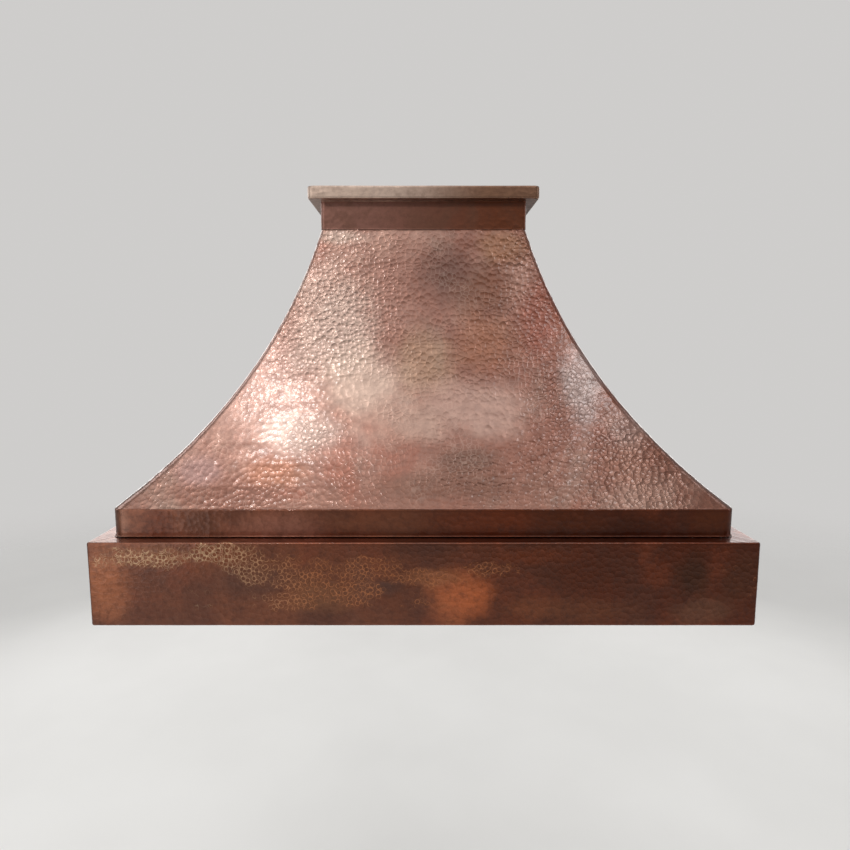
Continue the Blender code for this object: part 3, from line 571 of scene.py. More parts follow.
def coating(name, dark, light, rough, grain, depth):
    """A paint, plastic or rubber: two close tones that drift, and a fine grain."""
    m = Finish(name)
    fine = m.noise(grain, 3.0, 0.6)
    drift = m.noise(9.0, 4.0)
    colour = m.mix(m.range(drift, 0.35, 0.68), dark, light)
    colour = m.mix(m.range(fine, 0.5, 0.75, 0.0, 0.35), colour, dark)
    worn = m.range(m.noise(20.0, 4.0), 0.3, 0.7, rough - 0.06, rough + 0.08)
    return m.finished(colour, worn, m.bump(fine, depth))


def ringed_round(m, centre_x, centre_y, pitch, repeat=0.0):
    """Fine rings round each lamp or button, which stand at the same distance either side of the middle."""
    at = m.split(m.place)
    out = m.maths("ABSOLUTE", at["X"])
    if repeat:
        out = m.maths("MODULO", out, repeat)
    x = m.maths("SUBTRACT", out, centre_x)
    y = m.maths("SUBTRACT", m.maths("ABSOLUTE", at["Y"]), centre_y)
    far = m.maths("SQRT", m.maths("ADD", m.product(x, x), m.product(y, y)))
    return m.maths("SINE", m.product(far, 2 * math.pi / pitch))


def frosted_lens():
    m = Finish("frosted_lens")
    rings = ringed_round(m, LAMP_X, STRIP_Y, 0.0026)
    haze = m.noise(60.0, 4.0)
    colour = m.mix(m.range(haze, 0.3, 0.7), (0.86, 0.84, 0.78), (0.94, 0.92, 0.87))
    marks = m.bump(rings, 0.0002, under=m.bump(m.noise(900.0, 2.0), 0.00002))
    rough = m.range(haze, 0.3, 0.7, 0.34, 0.46)
    return m.finished(colour, rough, marks, Subsurface_Weight=0.2, Coat_Weight=0.3)


def turned_button():
    m = Finish("turned_button")
    rings = ringed_round(m, BUTTON_PITCH / 2, STRIP_Y, 0.0005, BUTTON_PITCH)
    colour = m.mix(m.range(rings, -1.0, 1.0), srgb(204, 203, 200), srgb(226, 225, 222))
    rough = m.range(m.noise(120.0, 3.0), 0.3, 0.7, 0.2, 0.32)
    return m.finished(colour, rough, m.bump(rings, 0.00002), 1.0)


def wound_conduit():
    m = Finish("wound_conduit")
    at = m.split(m.place)
    climb = m.maths("ADD", at["Z"], m.product(at["Y"], 0.25))
    turns = m.maths("SINE", m.product(climb, 2 * math.pi / 0.0042))
    colour = m.mix(m.range(turns, -1.0, -0.4), srgb(70, 72, 74), srgb(176, 178, 180))
    rough = m.range(m.noise(50.0, 4.0), 0.3, 0.7, 0.34, 0.5)
    return m.finished(colour, rough, m.bump(turns, 0.0008), 0.9)


def etched_board():
    m = Finish("etched_board")
    inputs = {
        "Vector": m.place,
        "Scale": 160.0,
        "Mortar Size": 0.06,
        "Color1": (0.02, 0.18, 0.07),
        "Color2": (0.03, 0.23, 0.09),
        "Mortar": (0.06, 0.36, 0.14),
    }
    tracks = m.node("ShaderNodeTexBrick", inputs)
    rough = m.range(m.noise(90.0), 0.3, 0.7, 0.34, 0.5)
    return m.finished(tracks.outputs["Color"], rough)


def inner_finishes():
    """One finish for each of the record's material slots, bar the copper."""
    finishes = {
        "stainless": brushed_stainless("brushed_stainless", (8.0, 800.0, 800.0)),
        "galvanised": spangled_zinc(),
        "frosted_glass": frosted_lens(),
        "button_metal": turned_button(),
        "conduit_metal": wound_conduit(),
        "board_green": etched_board(),
    }
    for slot, name, dark, light, rough, grain, depth in (
        ("frame_steel", "powder_coat", (0.045, 0.045, 0.05), (0.07, 0.07, 0.075), 0.5, 700.0, 0.00006),
        ("black_steel", "black_enamel", (0.012, 0.012, 0.013), (0.03, 0.03, 0.032), 0.34, 500.0, 0.00002),
        ("motor_paint", "motor_enamel", (0.03, 0.033, 0.036), (0.055, 0.06, 0.065), 0.42, 400.0, 0.00004),
        ("capacitor_case", "capacitor_plastic", (0.62, 0.62, 0.6), (0.72, 0.72, 0.7), 0.42, 600.0, 0.00001),
        ("seal_rubber", "seal_rubber", (0.012, 0.012, 0.012), (0.03, 0.03, 0.03), 0.75, 500.0, 0.00004),
    ):
        finishes[slot] = coating(name, dark, light, rough, grain, depth)
    return finishes


def dress_frame(finishes):
    """Gives every piece that stays as the frame has it the finish of its slot."""
    for part in frame["record"]["subparts"]:
        finish = finishes.get(part["material_slot"])
        for place in frame["nodes"][part["node"]].material_slots:
            place.material = finish


# ---------- copper sheets


def hammer_tree(name, flat):
    """A geometry modifier that moves the outer skin in as hammer blows do. The group 'inside' stays put."""
    tree = bpy.data.node_groups.new(name, "GeometryNodeTree")
    tree.interface.new_socket("Geometry", in_out="INPUT", socket_type="NodeSocketGeometry")
    depth = tree.interface.new_socket("Depth", in_out="INPUT", socket_type="NodeSocketFloat")
    wave = tree.interface.new_socket("Wave", in_out="INPUT", socket_type="NodeSocketFloat")
    tree.interface.new_socket("Geometry", in_out="OUTPUT", socket_type="NodeSocketGeometry")
    m = Mixer(tree, tree.nodes.new("GeometryNodeInputPosition").outputs[0])
    given = m.node("NodeGroupInput").outputs
    bowl = struck_field(m, flat, 0.5)[0]
    blows = m.product(m.maths("SUBTRACT", bowl, 1.1), given["Depth"])
    waves = m.product(m.maths("SUBTRACT", m.noise(14.0, 2.0, 0.5), 0.75), given["Wave"])
    inner = m.node("GeometryNodeInputNamedAttribute", data_type="FLOAT")
    m.feed(inner.inputs["Name"], "inside")
    outer = m.maths("SUBTRACT", 1.0, inner.outputs["Attribute"])
    lift = m.product(m.maths("MINIMUM", m.maths("ADD", blows, waves), 0.0), outer)
    push = m.scaled(m.node("GeometryNodeInputNormal").outputs[0], lift)
    mover = m.node("GeometryNodeSetPosition", {"Geometry": given["Geometry"], "Offset": push})
    m.node("NodeGroupOutput", {0: mover.outputs[0]})
    return tree, depth.identifier, wave.identifier


HAMMER, DEPTH_SOCKET, WAVE_SOCKET = hammer_tree("hammer_blows", flat=False)
BAND_HAMMER = hammer_tree("band_blows", flat=True)[0]


def start_ring(name, half_w, half_d, z, corner, across, deep):
    """A rectangle of edges with rounded corners, its long sides split into across and deep edges."""
    ring = fresh(name, bpy.ops.mesh.primitive_plane_add, size=2.0)
    edit_mesh()
    bpy.ops.transform.resize(value=(half_w, half_d, 1.0))
    bpy.ops.transform.translate(value=(0.0, 0.0, z))
    bpy.ops.mesh.bevel(offset=corner, segments=6, affect="VERTICES")
    select_all()
    bpy.ops.mesh.delete(type="ONLY_FACE")
    for cuts, axis in ((across - 1, 0), (deep - 1, 1)):
        pick_edges(ring, lambda a, b: abs(a.co[axis] - b.co[axis]) > 0.3 * (half_w, half_d)[axis])
        bpy.ops.mesh.subdivide(number_cuts=cuts)
    select_all()
    return ring


def draw_up(ring, courses, half_w, half_d, z):
    """Extrudes the ring's edges through the courses, each (half width, half depth, height)."""
    bpy.ops.mesh.select_mode(type="EDGE")
    for next_w, next_d, next_z in courses:
        bpy.ops.mesh.extrude_edges_move()
        bpy.ops.transform.translate(value=(0.0, 0.0, next_z - z))
        growth = (next_w / half_w, next_d / half_d, 1.0)
        bpy.ops.transform.resize(value=growth, center_override=(0.0, 0.0, 0.0))
        half_w, half_d, z = next_w, next_d, next_z
    close_mesh()
    wall = max(ring.data.polygons, key=lambda face: face.area * abs(face.normal.y))
    if wall.normal.y * wall.center.y < 0:
        edit_mesh()
        select_all()
        bpy.ops.mesh.flip_normals()
        close_mesh()


def beside(face, half_w, half_d):
    """True for a face of the left or right side, rounded corners left out."""
    if abs(face.normal.z) < 0.9:
        return abs(face.normal.y) < 0.12 * abs(face.normal.x)
    return half_w - abs(face.center.x) < half_d - abs(face.center.y)


def part_sides(ring, half_w, half_d):
    """Separates a band into its four sides. The front and rear ones keep the rounded corners."""
    found = {"front": ring}
    tests = {
        "right": lambda face: beside(face, half_w, half_d) and face.center.x > 0,
        "left": lambda face: beside(face, half_w, half_d) and face.center.x < 0,
        "rear": lambda face: face.center.y > 0,
    }
    base = ring.name
    for side, test in tests.items():
        pick_faces(ring, test)
        bpy.ops.mesh.separate(type="SELECTED")
        close_mesh()
        made = [obj for obj in bpy.context.selected_objects if obj is not ring][0]
        made.name = f"{base}_{side}"
        found[side] = made
    ring.name = f"{base}_front"
    return found


def planish(piece, cuts, depth, wave, hammer):
    """Gives a side its wall, a fine grid on its outer skin, and the hammer's blows."""
    take(piece)
    inside = piece.vertex_groups.new(name="inside").index
    thicken(piece, COPPER_WALL, -1.0, "inside")

    def is_outer(point):
        return all(group.group != inside or group.weight < 0.5 for group in point.groups)

    pick_edges(piece, lambda a, b: is_outer(a) and is_outer(b) and (a.co - b.co).length > LONGEST_EDGE)
    bpy.ops.mesh.subdivide(number_cuts=cuts)
    close_mesh()
    blows = piece.modifiers.new("blows", "NODES")
    blows.node_group = hammer
    blows[DEPTH_SOCKET] = depth
    blows[WAVE_SOCKET] = wave
    use_modifier(piece, blows)
    smooth(piece, 40.0)


def planish_band(sides, cuts, finish, node):
    """The shallow, even blows of the upright bands, on all four sides."""
    for side in sides.values():
        planish(side, cuts, 0.0003, 0.0006, BAND_HAMMER)
        fit(side, finish, "hood", node)


def arc(centre_out, centre_z, radius, start, end, steps):
    """Points (out, z) on a quarter bend, from start to end degrees."""
    points = []
    for n in range(steps + 1):
        angle = math.radians(start + (end - start) * n / steps)
        points.append((centre_out + radius * math.cos(angle), centre_z + radius * math.sin(angle)))
    return points


def band(name, half_w, half_d, profile, corner, across, deep):
    """profile is (out, z): out is measured from the half sizes, and grows outwards."""
    first_out, first_z = profile[0]
    ring = start_ring(name, half_w + first_out, half_d + first_out, first_z, corner, across, deep)
    courses = [(half_w + out, half_d + out, z) for out, z in profile[1:]]
    draw_up(ring, courses, half_w + first_out, half_d + first_out, first_z)
    return part_sides(ring, half_w, half_d)


def apron(finish):
    tuck = APRON_W - FASCIA_W + 0.012
    r = EDGE
    profile = [(-0.013, 0.0)]
    profile += arc(-r, r, r, -90, 0, 4)
    profile += [(0.0, LEDGE_Z * 0.35), (0.0, LEDGE_Z * 0.67)]
    profile += arc(-r, LEDGE_Z - r, r, 0, 90, 4)
    profile += [(-tuck, LEDGE_Z)]
    sides = band("apron", APRON_W, APRON_D, profile, 0.0045, 22, 14)
    planish_band(sides, 19, finish, "apron_band")


def bell_inset(z):
    """How far in from the fascia the bell's curve stands at a height: part of a circle, hollow outwards."""
    rise = CROWN_Z - FOOT_Z
    inset = FASCIA_W - NECK_W
    chord = math.hypot(inset, rise)
    reach = math.sqrt(BELL_RADIUS**2 - (chord / 2) ** 2)
    centre_inset = inset / 2 - reach * rise / chord
    centre_z = FOOT_Z + rise / 2 + reach * inset / chord
    return centre_inset + math.sqrt(BELL_RADIUS**2 - (z - centre_z) ** 2)


def fascia(finish):
    bottom = LEDGE_Z + 0.0006
    lip = 0.0016
    profile = [(-0.006, bottom), (lip - 0.0008, bottom)]
    profile += arc(lip - 0.0008, bottom + 0.0008, 0.0008, -60, 90, 3)
    profile += [(0.0, bottom + 0.0022), (0.0, bottom + 0.004), (0.0, FOOT_Z - 0.005)]
    r = 0.004
    profile += arc(-r, FOOT_Z - 0.0022, r, 0, 44, 4)[1:]
    sides = band("fascia", FASCIA_W, FASCIA_D, profile, HIP, 20, 12)
    planish_band(sides, 19, finish, "fascia_band")


def bell(finish):
    rows = 14
    low, high = FOOT_Z + 0.0006, CROWN_Z
    heights = [low + (high - low) * n / rows for n in range(rows + 1)]
    share = (FASCIA_D - NECK_D) / (FASCIA_W - NECK_W)
    courses = [(FASCIA_W - bell_inset(z), FASCIA_D - share * bell_inset(z), z) for z in heights]
    ring = start_ring("bell", *courses[0], HIP, 20, 12)
    draw_up(ring, courses[1:], *courses[0])
    for name, side in part_sides(ring, FASCIA_W, FASCIA_D).items():
        planish(side, 17, 0.0005, 0.0016, HAMMER)
        fit(side, finish, "hood", f"bell_{name}_panel")


def neck(finish):
    low, high = CROWN_Z - 0.0002, SOFFIT_Z + 0.012
    profile = [(0.0, low), (0.0, low + 0.02), (0.0, high)]
    sides = band("neck", NECK_W, NECK_D, profile, 0.007, 8, 7)
    planish_band(sides, 17, finish, "neck_collar")


def crown(finish):
    lip = CAP_W - NECK_W
    r = 0.0035
    profile = [(-lip - 0.001, SOFFIT_Z)]
    profile += arc(-r, SOFFIT_Z + r, r, -90, 0, 4)
    profile += arc(-r, CEILING_Z - r, r, 0, 90, 4)
    profile += [(-lip - 0.0135, CEILING_Z)]
    sides = band("crown", CAP_W, CAP_D, profile, 0.008, 9, 8)
    planish_band(sides, 15, finish, "crown_cap")


# ---------- liner, filters, lamps and buttons


def polyline(name, points):
    """One corner after another, joined by edges, and left in edit mode."""
    piece = fresh(name, bpy.ops.mesh.primitive_plane_add, size=0.001)
    edit_mesh()
    bpy.ops.mesh.select_mode(type="VERT")
    select_all()
    bpy.ops.mesh.merge(type="CENTER")
    bpy.ops.transform.translate(value=points[0])
    for start, end in zip(points, points[1:]):
        bpy.ops.mesh.extrude_vertices_move()
        bpy.ops.transform.translate(value=Vector(end) - Vector(start))
    select_all()
    return piece


def turned(name, profile, centre, steps=40):
    """Spins a profile of (radius, height) round the upright axis through centre."""
    x, y, z = centre
    piece = polyline(name, [(x + radius, y, z + height) for radius, height in profile])
    bpy.ops.mesh.spin(steps=steps, angle=2 * math.pi, center=centre, axis=(0.0, 0.0, 1.0))
    weld(0.00003)
    return smooth(piece, 30.0)


def bent_wire(name, points, radius):
    polyline(name, points)
    close_mesh()
    bpy.ops.object.convert(target="CURVE")
    wire = bpy.context.object
    wire.data.bevel_depth = radius
    wire.data.bevel_resolution = 3
    wire.data.use_fill_caps = True
    bpy.ops.object.convert(target="MESH")
    wire = bpy.context.object
    edit_mesh()
    weld(0.00002)
    return smooth(wire, 40.0)


def block(name, low, high):
    """A rectangular blank between two corners."""
    blank = fresh(name, bpy.ops.mesh.primitive_cube_add, size=1.0, location=(Vector(low) + Vector(high)) / 2)
    blank.scale = Vector(high) - Vector(low)
    return settle(blank)


def bar(name, radius, length, centre, turn=(0.0, 0.0, 0.0), sides=24):
    """A round bar, upright unless it is turned."""
    size = {"vertices": sides, "radius": radius, "depth": length}
    return settle(fresh(name, bpy.ops.mesh.primitive_cylinder_add, location=centre, rotation=turn, **size))


def cut(obj, *tools):
    """Cuts the tools out of obj, one after another."""
    for tool in tools:
        change = obj.modifiers.new("cut", "BOOLEAN")
        change.operation = "DIFFERENCE"
        change.solver = "EXACT"
        change.object = tool
        use_modifier(obj, change)
        bpy.data.objects.remove(tool, do_unlink=True)
    return obj


def round_over(obj, width, segments=2):
    bevel = obj.modifiers.new("edges", "BEVEL")
    bevel.width = width
    bevel.segments = segments
    bevel.limit_method = "ANGLE"
    bevel.angle_limit = math.radians(40.0)
    use_modifier(obj, bevel)
    return obj


def true_up(obj, angle=35.0):
    """Smooth bends beside faces that stay flat."""
    smooth(obj, angle)
    weighted = obj.modifiers.new("flats", "WEIGHTED_NORMAL")
    weighted.keep_sharp = True
    use_modifier(obj, weighted)
    return obj


def join(first, *others):
    take(first)
    for other in others:
        other.select_set(True)
    bpy.ops.object.join()
    return first


def another(obj, name, shift):
    """A copy with its own mesh, moved by shift. With nothing to move by, it's the piece itself."""
    if not any(shift):
        return obj
    made = obj.copy()
    made.data = obj.data.copy()
    made.name = name
    made.data.name = name
    bpy.context.scene.collection.objects.link(made)
    made.location = shift
    return settle(made)


def folded(corners, r, steps=4):
    """The corners of a bent sheet, (half width, half depth, height), with each inner one rounded."""
    points = [Vector(corners[0])]
    for before, here, after in zip(corners, corners[1:], corners[2:]):
        here = Vector(here)
        back = here + (Vector(before) - here).normalized() * r
        on = here + (Vector(after) - here).normalized() * r
        for n in range(steps + 1):
            t = n / steps
            points.append(back * (1 - t) ** 2 + here * 2 * t * (1 - t) + on * t**2)
    points.append(Vector(corners[-1]))
    return points


def liner(finish):
    """The pan under the hood: a rim, four slopes, a ceiling with openings, and the filters' hook rod."""
    low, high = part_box("liner_pan")
    rim = low.z + 0.0001
    wide, deep = high.x - 0.0002, high.y - 0.0002
    corners = [
        (wide, deep, rim),
        (wide - 0.0367, deep - 0.0367, rim),
        (wide - 0.0567, deep - 0.0567, LINER_CEILING),
        (OPENING_X, OPENING_Y, LINER_CEILING),
        (OPENING_X, OPENING_Y, high.z - SHEET),
        (OPENING_X - 0.0028, OPENING_Y - 0.006, high.z - SHEET),
    ]
    courses = [tuple(point) for point in folded(corners, 0.0024)]
    pan = start_ring("liner", *courses[0], 0.005, 6, 4)
    draw_up(pan, courses[1:], *courses[0])
    thicken(pan, SHEET, 1.0)
    half_strip = BUTTON_PITCH * 2
    below, above = LINER_CEILING - 0.005, LINER_CEILING + 0.005
    cut(pan, block("strip", (-half_strip, -STRIP_Y - 0.012, below), (half_strip, -STRIP_Y + 0.012, above)))
    for x in (-LAMP_X, LAMP_X):
        for y in (-STRIP_Y, STRIP_Y):
            cut(pan, bar("lamp_hole", LAMP_R + 0.0005, 0.02, (x, y, LINER_CEILING), sides=40))
    for x, _, base in filter_places().values():
        corner = Vector((x - 0.0095, -OPENING_Y - 0.004, base + 0.0037))
        cut(pan, block("strike", corner, corner + Vector((0.019, 0.0055, 0.0036))))
    true_up(pan)
    rod = smooth(bar("hook_rod", 0.002, 2 * OPENING_X, (0.0, HOOK_ROD_Y, HOOK_ROD_Z), CROSSWAYS), 40.0)
    tabs = []
    between = (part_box("filter_right")[0].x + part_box("filter_centre")[1].x) / 2
    for x in (-between, between):
        corner = Vector((x - 0.0007, HOOK_ROD_Y, HOOK_ROD_Z - 0.0015))
        tabs.append(block("rod_tab", corner, (x + 0.0007, OPENING_Y + 0.0005, HOOK_ROD_Z + 0.0015)))
    join(pan, rod, *tabs)
    fit(pan, finish, "hood", "liner_pan")


def pan_screw(finish):
    """The cross-head screws that hold the liner's rim up to the frame, modelled once and copied round."""
    low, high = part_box("liner_pan")
    flange = low.z
    side_x, y = high.x - SCREW_INSET, high.y - SCREW_INSET
    head = [(0.0, 0.0), (0.004, 0.0), (0.004, -0.0005), (0.0036, -0.0011), (0.0026, -0.0015), (0.0, -0.0017)]
    first = turned("liner_screw", head, (SCREW_X, y, flange), 16)
    arm, half_slot = 0.0019, 0.0004
    for wide, long in ((half_slot, arm), (arm, half_slot)):
        corner = (SCREW_X - wide, y - long, flange - 0.003)
        cut(first, block("cross", corner, (SCREW_X + wide, y + long, flange - 0.0009)))
    smooth(first, 30.0)
    fit(first, finish, "hood")
    spots = [(x, side * y) for side in (-1, 1) for x in (-SCREW_X, -0.14, 0.14, SCREW_X)]
    spots += [(side * side_x, y_side) for side in (-1, 1) for y_side in (-0.21, 0.0, 0.21)]
    for n, (x, y_spot) in enumerate(spot for spot in spots if spot != (SCREW_X, y)):
        screw = another(first, f"liner_screw_{n + 1}", (x - SCREW_X, y_spot - y, 0.0))
        fit(screw, finish, "hood")


def filter_places():
    """Where each filter lies: its middle x, its front edge's y and its underside's z."""
    places = {}
    for side in ("left", "centre", "right"):
        low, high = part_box(f"filter_{side}")
        places[side] = ((low.x + high.x) / 2, low.y, high.z - FILTER_THICK)
    return places


def channel(name, x, half, y_low, y_high, flat, lip):
    """A baffle: a long strip with both edges folded up or down to the height of its lip."""

    def lengthways(a, b):
        return abs(a.co.x - b.co.x) < TOUCHING

    centre = (x, (y_low + y_high) / 2, flat)
    strip = fresh(name, bpy.ops.mesh.primitive_plane_add, size=1.0, location=centre)
    strip.scale = (2 * half, y_high - y_low, 1.0)
    settle(strip)
    pick_edges(strip, lengthways)
    bpy.ops.mesh.extrude_edges_move()
    bpy.ops.transform.translate(value=(0.0, 0.0, lip - flat))
    close_mesh()
    pick_edges(strip, lambda a, b: lengthways(a, b) and a.co.z == b.co.z and abs(a.co.z - flat) < TOUCHING)
    bpy.ops.mesh.bevel(offset=0.0016, segments=3, affect="EDGES")
    select_all()
    bpy.ops.mesh.normals_make_consistent(inside=False)
    close_mesh()
    thicken(strip, 0.0008, 0.0)
    return smooth(strip, 40.0)


def baffle_filters(finish):
    """A rim, two rows of folded baffles that face each other, the latch's channel and the handle's lugs."""
    _, front, base = filter_places()["centre"]
    low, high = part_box("filter_centre")
    rear, top = high.y, high.z
    rim = 0.018
    body = block("filter", (low.x, front, base), (high.x, rear, top))
    cut(body, block("mouth", (low.x + rim, front + rim, base - 0.01), (high.x - rim, rear - rim, top + 0.01)))
    round_over(body, 0.0012)
    level = HOOK_ROD_Z
    cut(body, block("groove", (-0.2, rear - 0.0076, level - 0.0025), (0.2, rear + 0.01, level + 0.0025)))
    cut(body, block("slide", (-0.009, front - 0.01, base + 0.0036), (0.009, front + 0.022, base + 0.0072)))
    cut(body, block("thumb_way", (-0.0055, front + 0.01, base - 0.01), (0.0055, front + 0.022, base + 0.004)))
    pieces = []
    y_low, y_high = front + rim - 0.003, rear - rim + 0.003
    for row, count, half, flat, lip in (
        ("lower", 6, 0.011, base + 0.0012, base + 0.0066),
        ("upper", 7, 0.0125, base + 0.0106, base + 0.0052),
    ):
        first = channel(f"{row}_baffle", -(count - 1) / 2 * BAFFLE_PITCH, half, y_low, y_high, flat, lip)
        pieces += [another(first, first.name, (n * BAFFLE_PITCH, 0.0, 0.0)) for n in range(count)]
    for x in (-LUG_X, LUG_X):
        lug = block("lug", (x - 0.002, front + 0.03, base - 0.0084), (x + 0.002, front + 0.04, base + 0.002))
        round_over(lug, 0.0012)
        eye = bar("lug_eye", 0.0025, 0.02, (x, front + 0.035, base - 0.0045), CROSSWAYS, sides=20)
        pieces.append(smooth(cut(lug, eye), 35.0))
    head = [(0.0, -0.0008), (0.0011, -0.0006), (0.0018, 0.0), (0.0018, 0.0006), (0.0, 0.0006)]
    rivet = turned("rivet", head, (low.x + rim / 2, front + rim / 2, base), 14)
    for shift_x in (0.0, high.x - low.x - rim):
        for shift_y in (0.0, rear - front - rim):
            pieces.append(another(rivet, "rivet", (shift_x, shift_y, 0.0)))
    true_up(body)
    join(body, *pieces)
    spread(body, "filter_{}_baffles", finish, "baffle_filter_{}", "filter_{}")


def spread(first, name, finish, body, node):
    """Puts the centre filter's piece on all three filters."""
    for side, (x, _, _) in filter_places().items():
        if side != "centre":
            piece = another(first, name.format(side), (x, 0.0, 0.0))
            fit(piece, finish, body.format(side), node.format(side))
    first.name = name.format("centre")
    fit(first, finish, body.format("centre"), node.format("centre"))


def filter_handles(finish):
    low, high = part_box("filter_handle_centre")
    r = 0.002
    y, pivot, bottom = (low.y + high.y) / 2, high.z - r, low.z + r
    end, leg, bend = high.x, LUG_X - 0.005, 0.007
    knee = 0.003
    half = [(end, y, pivot)]
    half += [(out, y, up) for out, up in arc(leg + knee, pivot - knee, knee, 90, 180, 5)]
    half += [(out, y, up) for out, up in arc(leg - bend, bottom + bend, bend, 0, -90, 6)]
    other = [(-out, deep, up) for out, deep, up in reversed(half)]
    bail = bent_wire("handle", half + other, r)
    spread(bail, "handle_{}_bail", finish, "handle_{}", "filter_handle_{}")


def filter_latches(finish):
    _, front, base = filter_places()["centre"]
    tongue = block("latch", (-0.008, front - 0.003, base + 0.0042), (0.008, front + 0.015, base + 0.0066))
    round_over(tongue, 0.0006)
    thumb = block("thumb", (-0.005, front + 0.011, base - 0.007), (0.005, front + 0.015, base + 0.0055))
    round_over(thumb, 0.0009)
    pick_faces(thumb, lambda face: face.normal.z < -0.9)
    bpy.ops.transform.resize(value=(1.12, 1.0, 1.0), center_override=(0.0, front + 0.013, base - 0.007))
    close_mesh()
    join(tongue, thumb)
    smooth(tongue, 35.0)
    spread(tongue, "latch_{}_slide", finish, "latch_{}", "filter_latch_{}")


def lamps(metal, glass):
    """A rolled bezel round a domed lens with fine rings, modelled once and copied to the four corners."""
    r = LAMP_R
    shade = [
        (0.0, 0.03), (r, 0.03), (r, -0.0003), (r + 0.0078, -0.0003), (r + 0.008, -0.001),
        (r + 0.0074, -0.0018), (r + 0.006, -0.0023), (r + 0.004, -0.0025), (r, -0.0025),
        (r - 0.002, -0.0022), (r - 0.0029, -0.0014), (r - 0.003, 0.0), (r - 0.003, 0.01),
        (r - 0.0045, 0.017), (r - 0.009, 0.024), (0.01, 0.028), (0.0, 0.028),
    ]
    s = r - 0.0035
    lens = [
        (0.0, 0.0012), (s, 0.0012), (s, -0.0004), (s - 0.0005, -0.0008),
        (s * 0.8, -0.0013), (s * 0.5, -0.0018), (s * 0.2, -0.0021), (0.0, -0.0022),
    ]
    start = (LAMP_X, STRIP_Y, LINER_CEILING)
    for kind, profile, finish, slot in (
        ("lamp", shade, metal, "stainless"),
        ("lamp_lens", lens, glass, "frosted_glass"),
    ):
        first = turned(f"{kind}_rear_right_turned", profile, start, 48)
        for y_name, y_shift in (("rear", 0.0), ("front", -2 * STRIP_Y)):
            for x_name, x_shift in (("right", 0.0), ("left", -2 * LAMP_X)):
                where = f"{kind}_{y_name}_{x_name}"
                shift = (x_shift, y_shift, 0.0)
                piece = another(first, f"{where}_turned", shift)
                fit(piece, finish, "hood", where)


def buttons(metal, trim):
    """Four push buttons with a dished face, and the trim ring that each stands in."""
    r = 0.0075
    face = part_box("control_panel")[0].z
    button = [
        (0.0, 0.0095), (0.003, 0.0095), (0.003, 0.0055), (0.0092, 0.0055), (0.0092, 0.0045), (r, 0.0045),
        (r, -0.0015), (r - 0.0003, -0.0021), (r - 0.001, -0.0025), (r - 0.0022, -0.0025),
        (r - 0.0025, -0.0022), (r - 0.0028, -0.0025), (0.003, -0.0021), (0.0, -0.0019),
    ]
    inner = r + 0.0006
    ring = [
        (inner, 0.0), (inner + 0.0022, 0.0), (inner + 0.002, -0.0004), (inner + 0.001, -0.0007),
        (inner + 0.0002, -0.0005), (inner, 0.0),
    ]
    start = (-1.5 * BUTTON_PITCH, -STRIP_Y, face)
    cap, collar = turned("button_1_cap", button, start, 36), turned("button_1_ring", ring, start, 36)
    for number in range(1, 5):
        shift = ((number - 1) * BUTTON_PITCH, 0.0, 0.0)
        piece = another(cap, f"button_{number}_cap", shift)
        fit(piece, metal, f"push_button_{number}", f"button_{number}")
        round_it = another(collar, f"button_{number}_ring", shift)
        fit(round_it, trim, "hood")


def duct(finish):
    """The round pipe at the top, with a hemmed mouth and two rolled beads."""
    low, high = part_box("duct_pipe")
    outer, inner = high.x - 0.0001, high.x - 0.0011
    length = high.z - low.z
    outside = [(outer, 0.0)]
    for at in (length * 0.3, length * 0.55):
        for out, up in ((0.0, -0.005), (0.0008, -0.0035), (0.0013, 0.0), (0.0008, 0.0035), (0.0, 0.005)):
            outside.append((outer + out, at + up))
    outside += [(outer, length - 0.0004), (outer - 0.0003, length)]
    inside = [(radius - (outer - inner), height) for radius, height in reversed(outside[1:-2])]
    mouth = [(inner + 0.0003, length), (inner, length - 0.0004)]
    profile = outside + mouth + inside + [(inner, 0.0), (outer, 0.0)]
    pipe = turned("duct_pipe_rolled", profile, (0.0, 0.0, low.z), 72)
    fit(pipe, finish, "hood", "duct_pipe")


# ---------- studio


def softbox(name, place, aim, size, watts, colour):
    lamp = bpy.data.lights.new(name, "AREA")
    lamp.shape = "RECTANGLE"
    lamp.size, lamp.size_y = size
    lamp.energy = watts
    lamp.color = colour
    obj = bpy.data.objects.new(name, lamp)
    bpy.context.scene.collection.objects.link(obj)
    obj.location = place
    obj.rotation_euler = (Vector(aim) - Vector(place)).to_track_quat("-Z", "Y").to_euler()


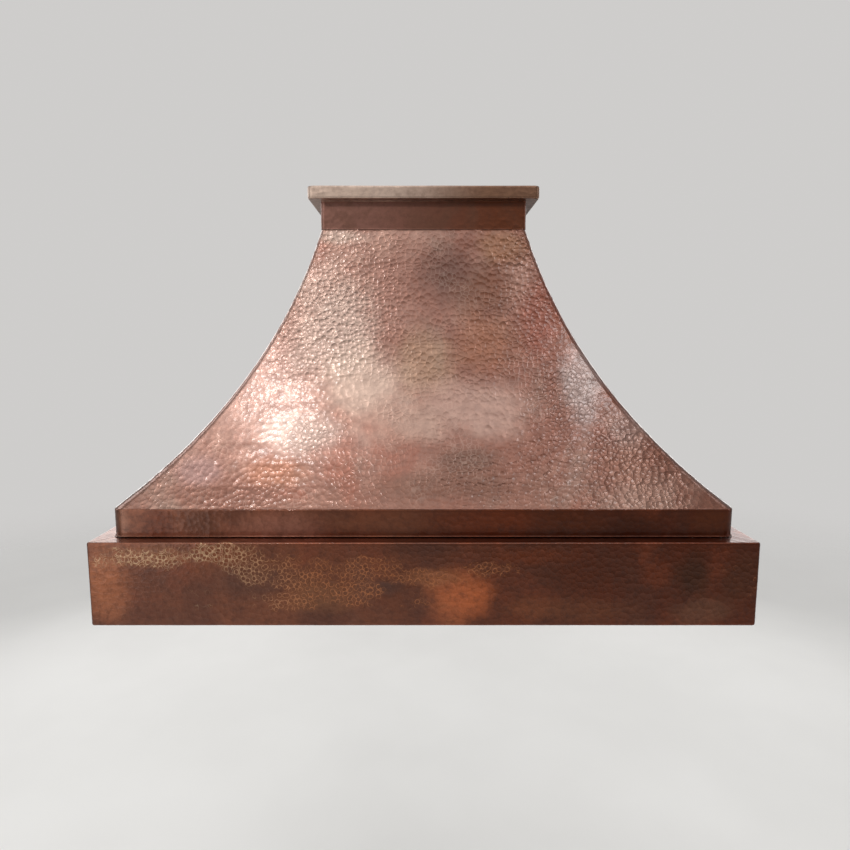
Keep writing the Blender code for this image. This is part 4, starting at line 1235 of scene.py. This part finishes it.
def studio():
    disc = {"vertices": 96, "radius": 6.0, "fill_type": "NGON", "location": (0.0, 0.0, -1.1)}
    floor = fresh("studio_floor", bpy.ops.mesh.primitive_circle_add, **disc)
    m = Finish("floor_paint")
    tone = m.range(m.noise(1.2, 3.0), 0.3, 0.7)
    colour = m.mix(tone, (0.74, 0.73, 0.71), (0.78, 0.77, 0.75))
    solid = m.range(m.vector("LENGTH", m.place), 6.0, 2.4)
    floor.data.materials.append(m.finished(colour, 0.85, Alpha=solid))
    white, warm, cool, middle = (1.0, 1.0, 1.0), (1.0, 0.98, 0.96), (0.94, 0.97, 1.0), (0.0, 0.0, 0.35)
    for name, place, aim, size, watts, colour in (
        ("key_left", (-0.82, -2.28, 1.84), (-0.24, -0.24, 0.35), (0.18, 0.14), 3.2, warm),
        ("key_right", (0.95, -2.2, 1.8), (0.2, -0.2, 0.36), (0.3, 0.2), 1.6, (0.96, 0.98, 1.0)),
        ("window_left", (-1.7, -2.2, 0.75), (0.0, -0.2, 0.3), (1.3, 3.0), 15.0, warm),
        ("sky_front", (0.1, -2.3, 2.1), (0.0, -0.2, 0.35), (2.4, 0.7), 7.0, (1.0, 0.98, 0.95)),
        ("side_right", (2.6, -0.6, 1.2), middle, (0.8, 1.8), 7.0, cool),
        ("side_left", (-2.6, 0.2, 1.2), middle, (0.8, 1.8), 10.0, cool),
        ("rim_left", (-1.9, 2.2, 0.8), middle, (1.0, 2.2), 14.0, white),
        ("rim_right", (1.9, 2.2, 0.8), middle, (1.0, 2.2), 12.0, white),
        ("back_top", (0.0, 2.6, 2.0), middle, (2.4, 1.4), 12.0, white),
    ):
        softbox(name, place, aim, size, watts, colour)
    surroundings()


def surroundings():
    """What the copper mirrors: dim round the horizon and bright overhead. The backdrop is an even grey."""
    world = bpy.data.worlds.new("studio")
    bpy.context.scene.world = world
    world.use_nodes = True
    tree = world.node_tree
    m = Mixer(tree, tree.nodes.new("ShaderNodeTexCoord").outputs["Generated"])
    height = m.node("ShaderNodeMath", {0: m.split(m.place)["Z"], 1: 0.5, 2: 0.5}, operation="MULTIPLY_ADD")
    ramp = m.node("ShaderNodeValToRGB", {0: height.outputs[0]})
    steps = ramp.color_ramp.elements
    steps[0].position = 0.52
    steps[0].color = (0.24, 0.235, 0.23, 1.0)
    steps[1].position = 0.96
    steps[1].color = (1.5, 1.5, 1.5, 1.0)
    steps.new(0.88).color = (0.34, 0.34, 0.34, 1.0)
    sky = tree.nodes["Background"]
    m.feed(sky.inputs["Color"], ramp.outputs[0])
    backdrop = m.node("ShaderNodeBackground", {"Color": (0.62, 0.61, 0.6)})
    seen = m.node("ShaderNodeLightPath").outputs["Is Camera Ray"]
    either = m.node("ShaderNodeMixShader", {0: seen, 1: sky.outputs[0], 2: backdrop.outputs[0]})
    m.feed(tree.nodes["World Output"].inputs["Surface"], either.outputs[0])


def camera():
    lens = bpy.data.cameras.new("camera")
    lens.lens = 26.0
    lens.sensor_width = 36.0
    lens.shift_x = 0.0018
    obj = bpy.data.objects.new("camera", lens)
    bpy.context.scene.collection.objects.link(obj)
    obj.location = (0.0, -1.281, 0.4404)
    obj.rotation_euler = (math.radians(83.0), 0.0, 0.0)
    bpy.context.scene.camera = obj


def main():
    camera()
    studio()
    bell_finish = bell_copper()
    apron(band_copper("apron_copper", ringed=True))
    fascia(band_copper("fascia_copper", ringed=False))
    bell(bell_finish)
    crown_finish = crown_copper()
    neck(crown_finish)
    crown(crown_finish)
    inside = inner_finishes()
    dress_frame(dict(inside, copper=bell_finish))
    stainless = inside["stainless"]
    liner(stainless)
    pan_screw(stainless)
    baffle_filters(brushed_stainless("filter_stainless", (800.0, 8.0, 800.0)))
    filter_handles(stainless)
    filter_latches(inside["black_steel"])
    lamps(stainless, inside["frosted_glass"])
    buttons(inside["button_metal"], stainless)
    duct(inside["galvanised"])
    bpy.context.scene.view_settings.view_transform = "Standard"
    stand_clear()


main()
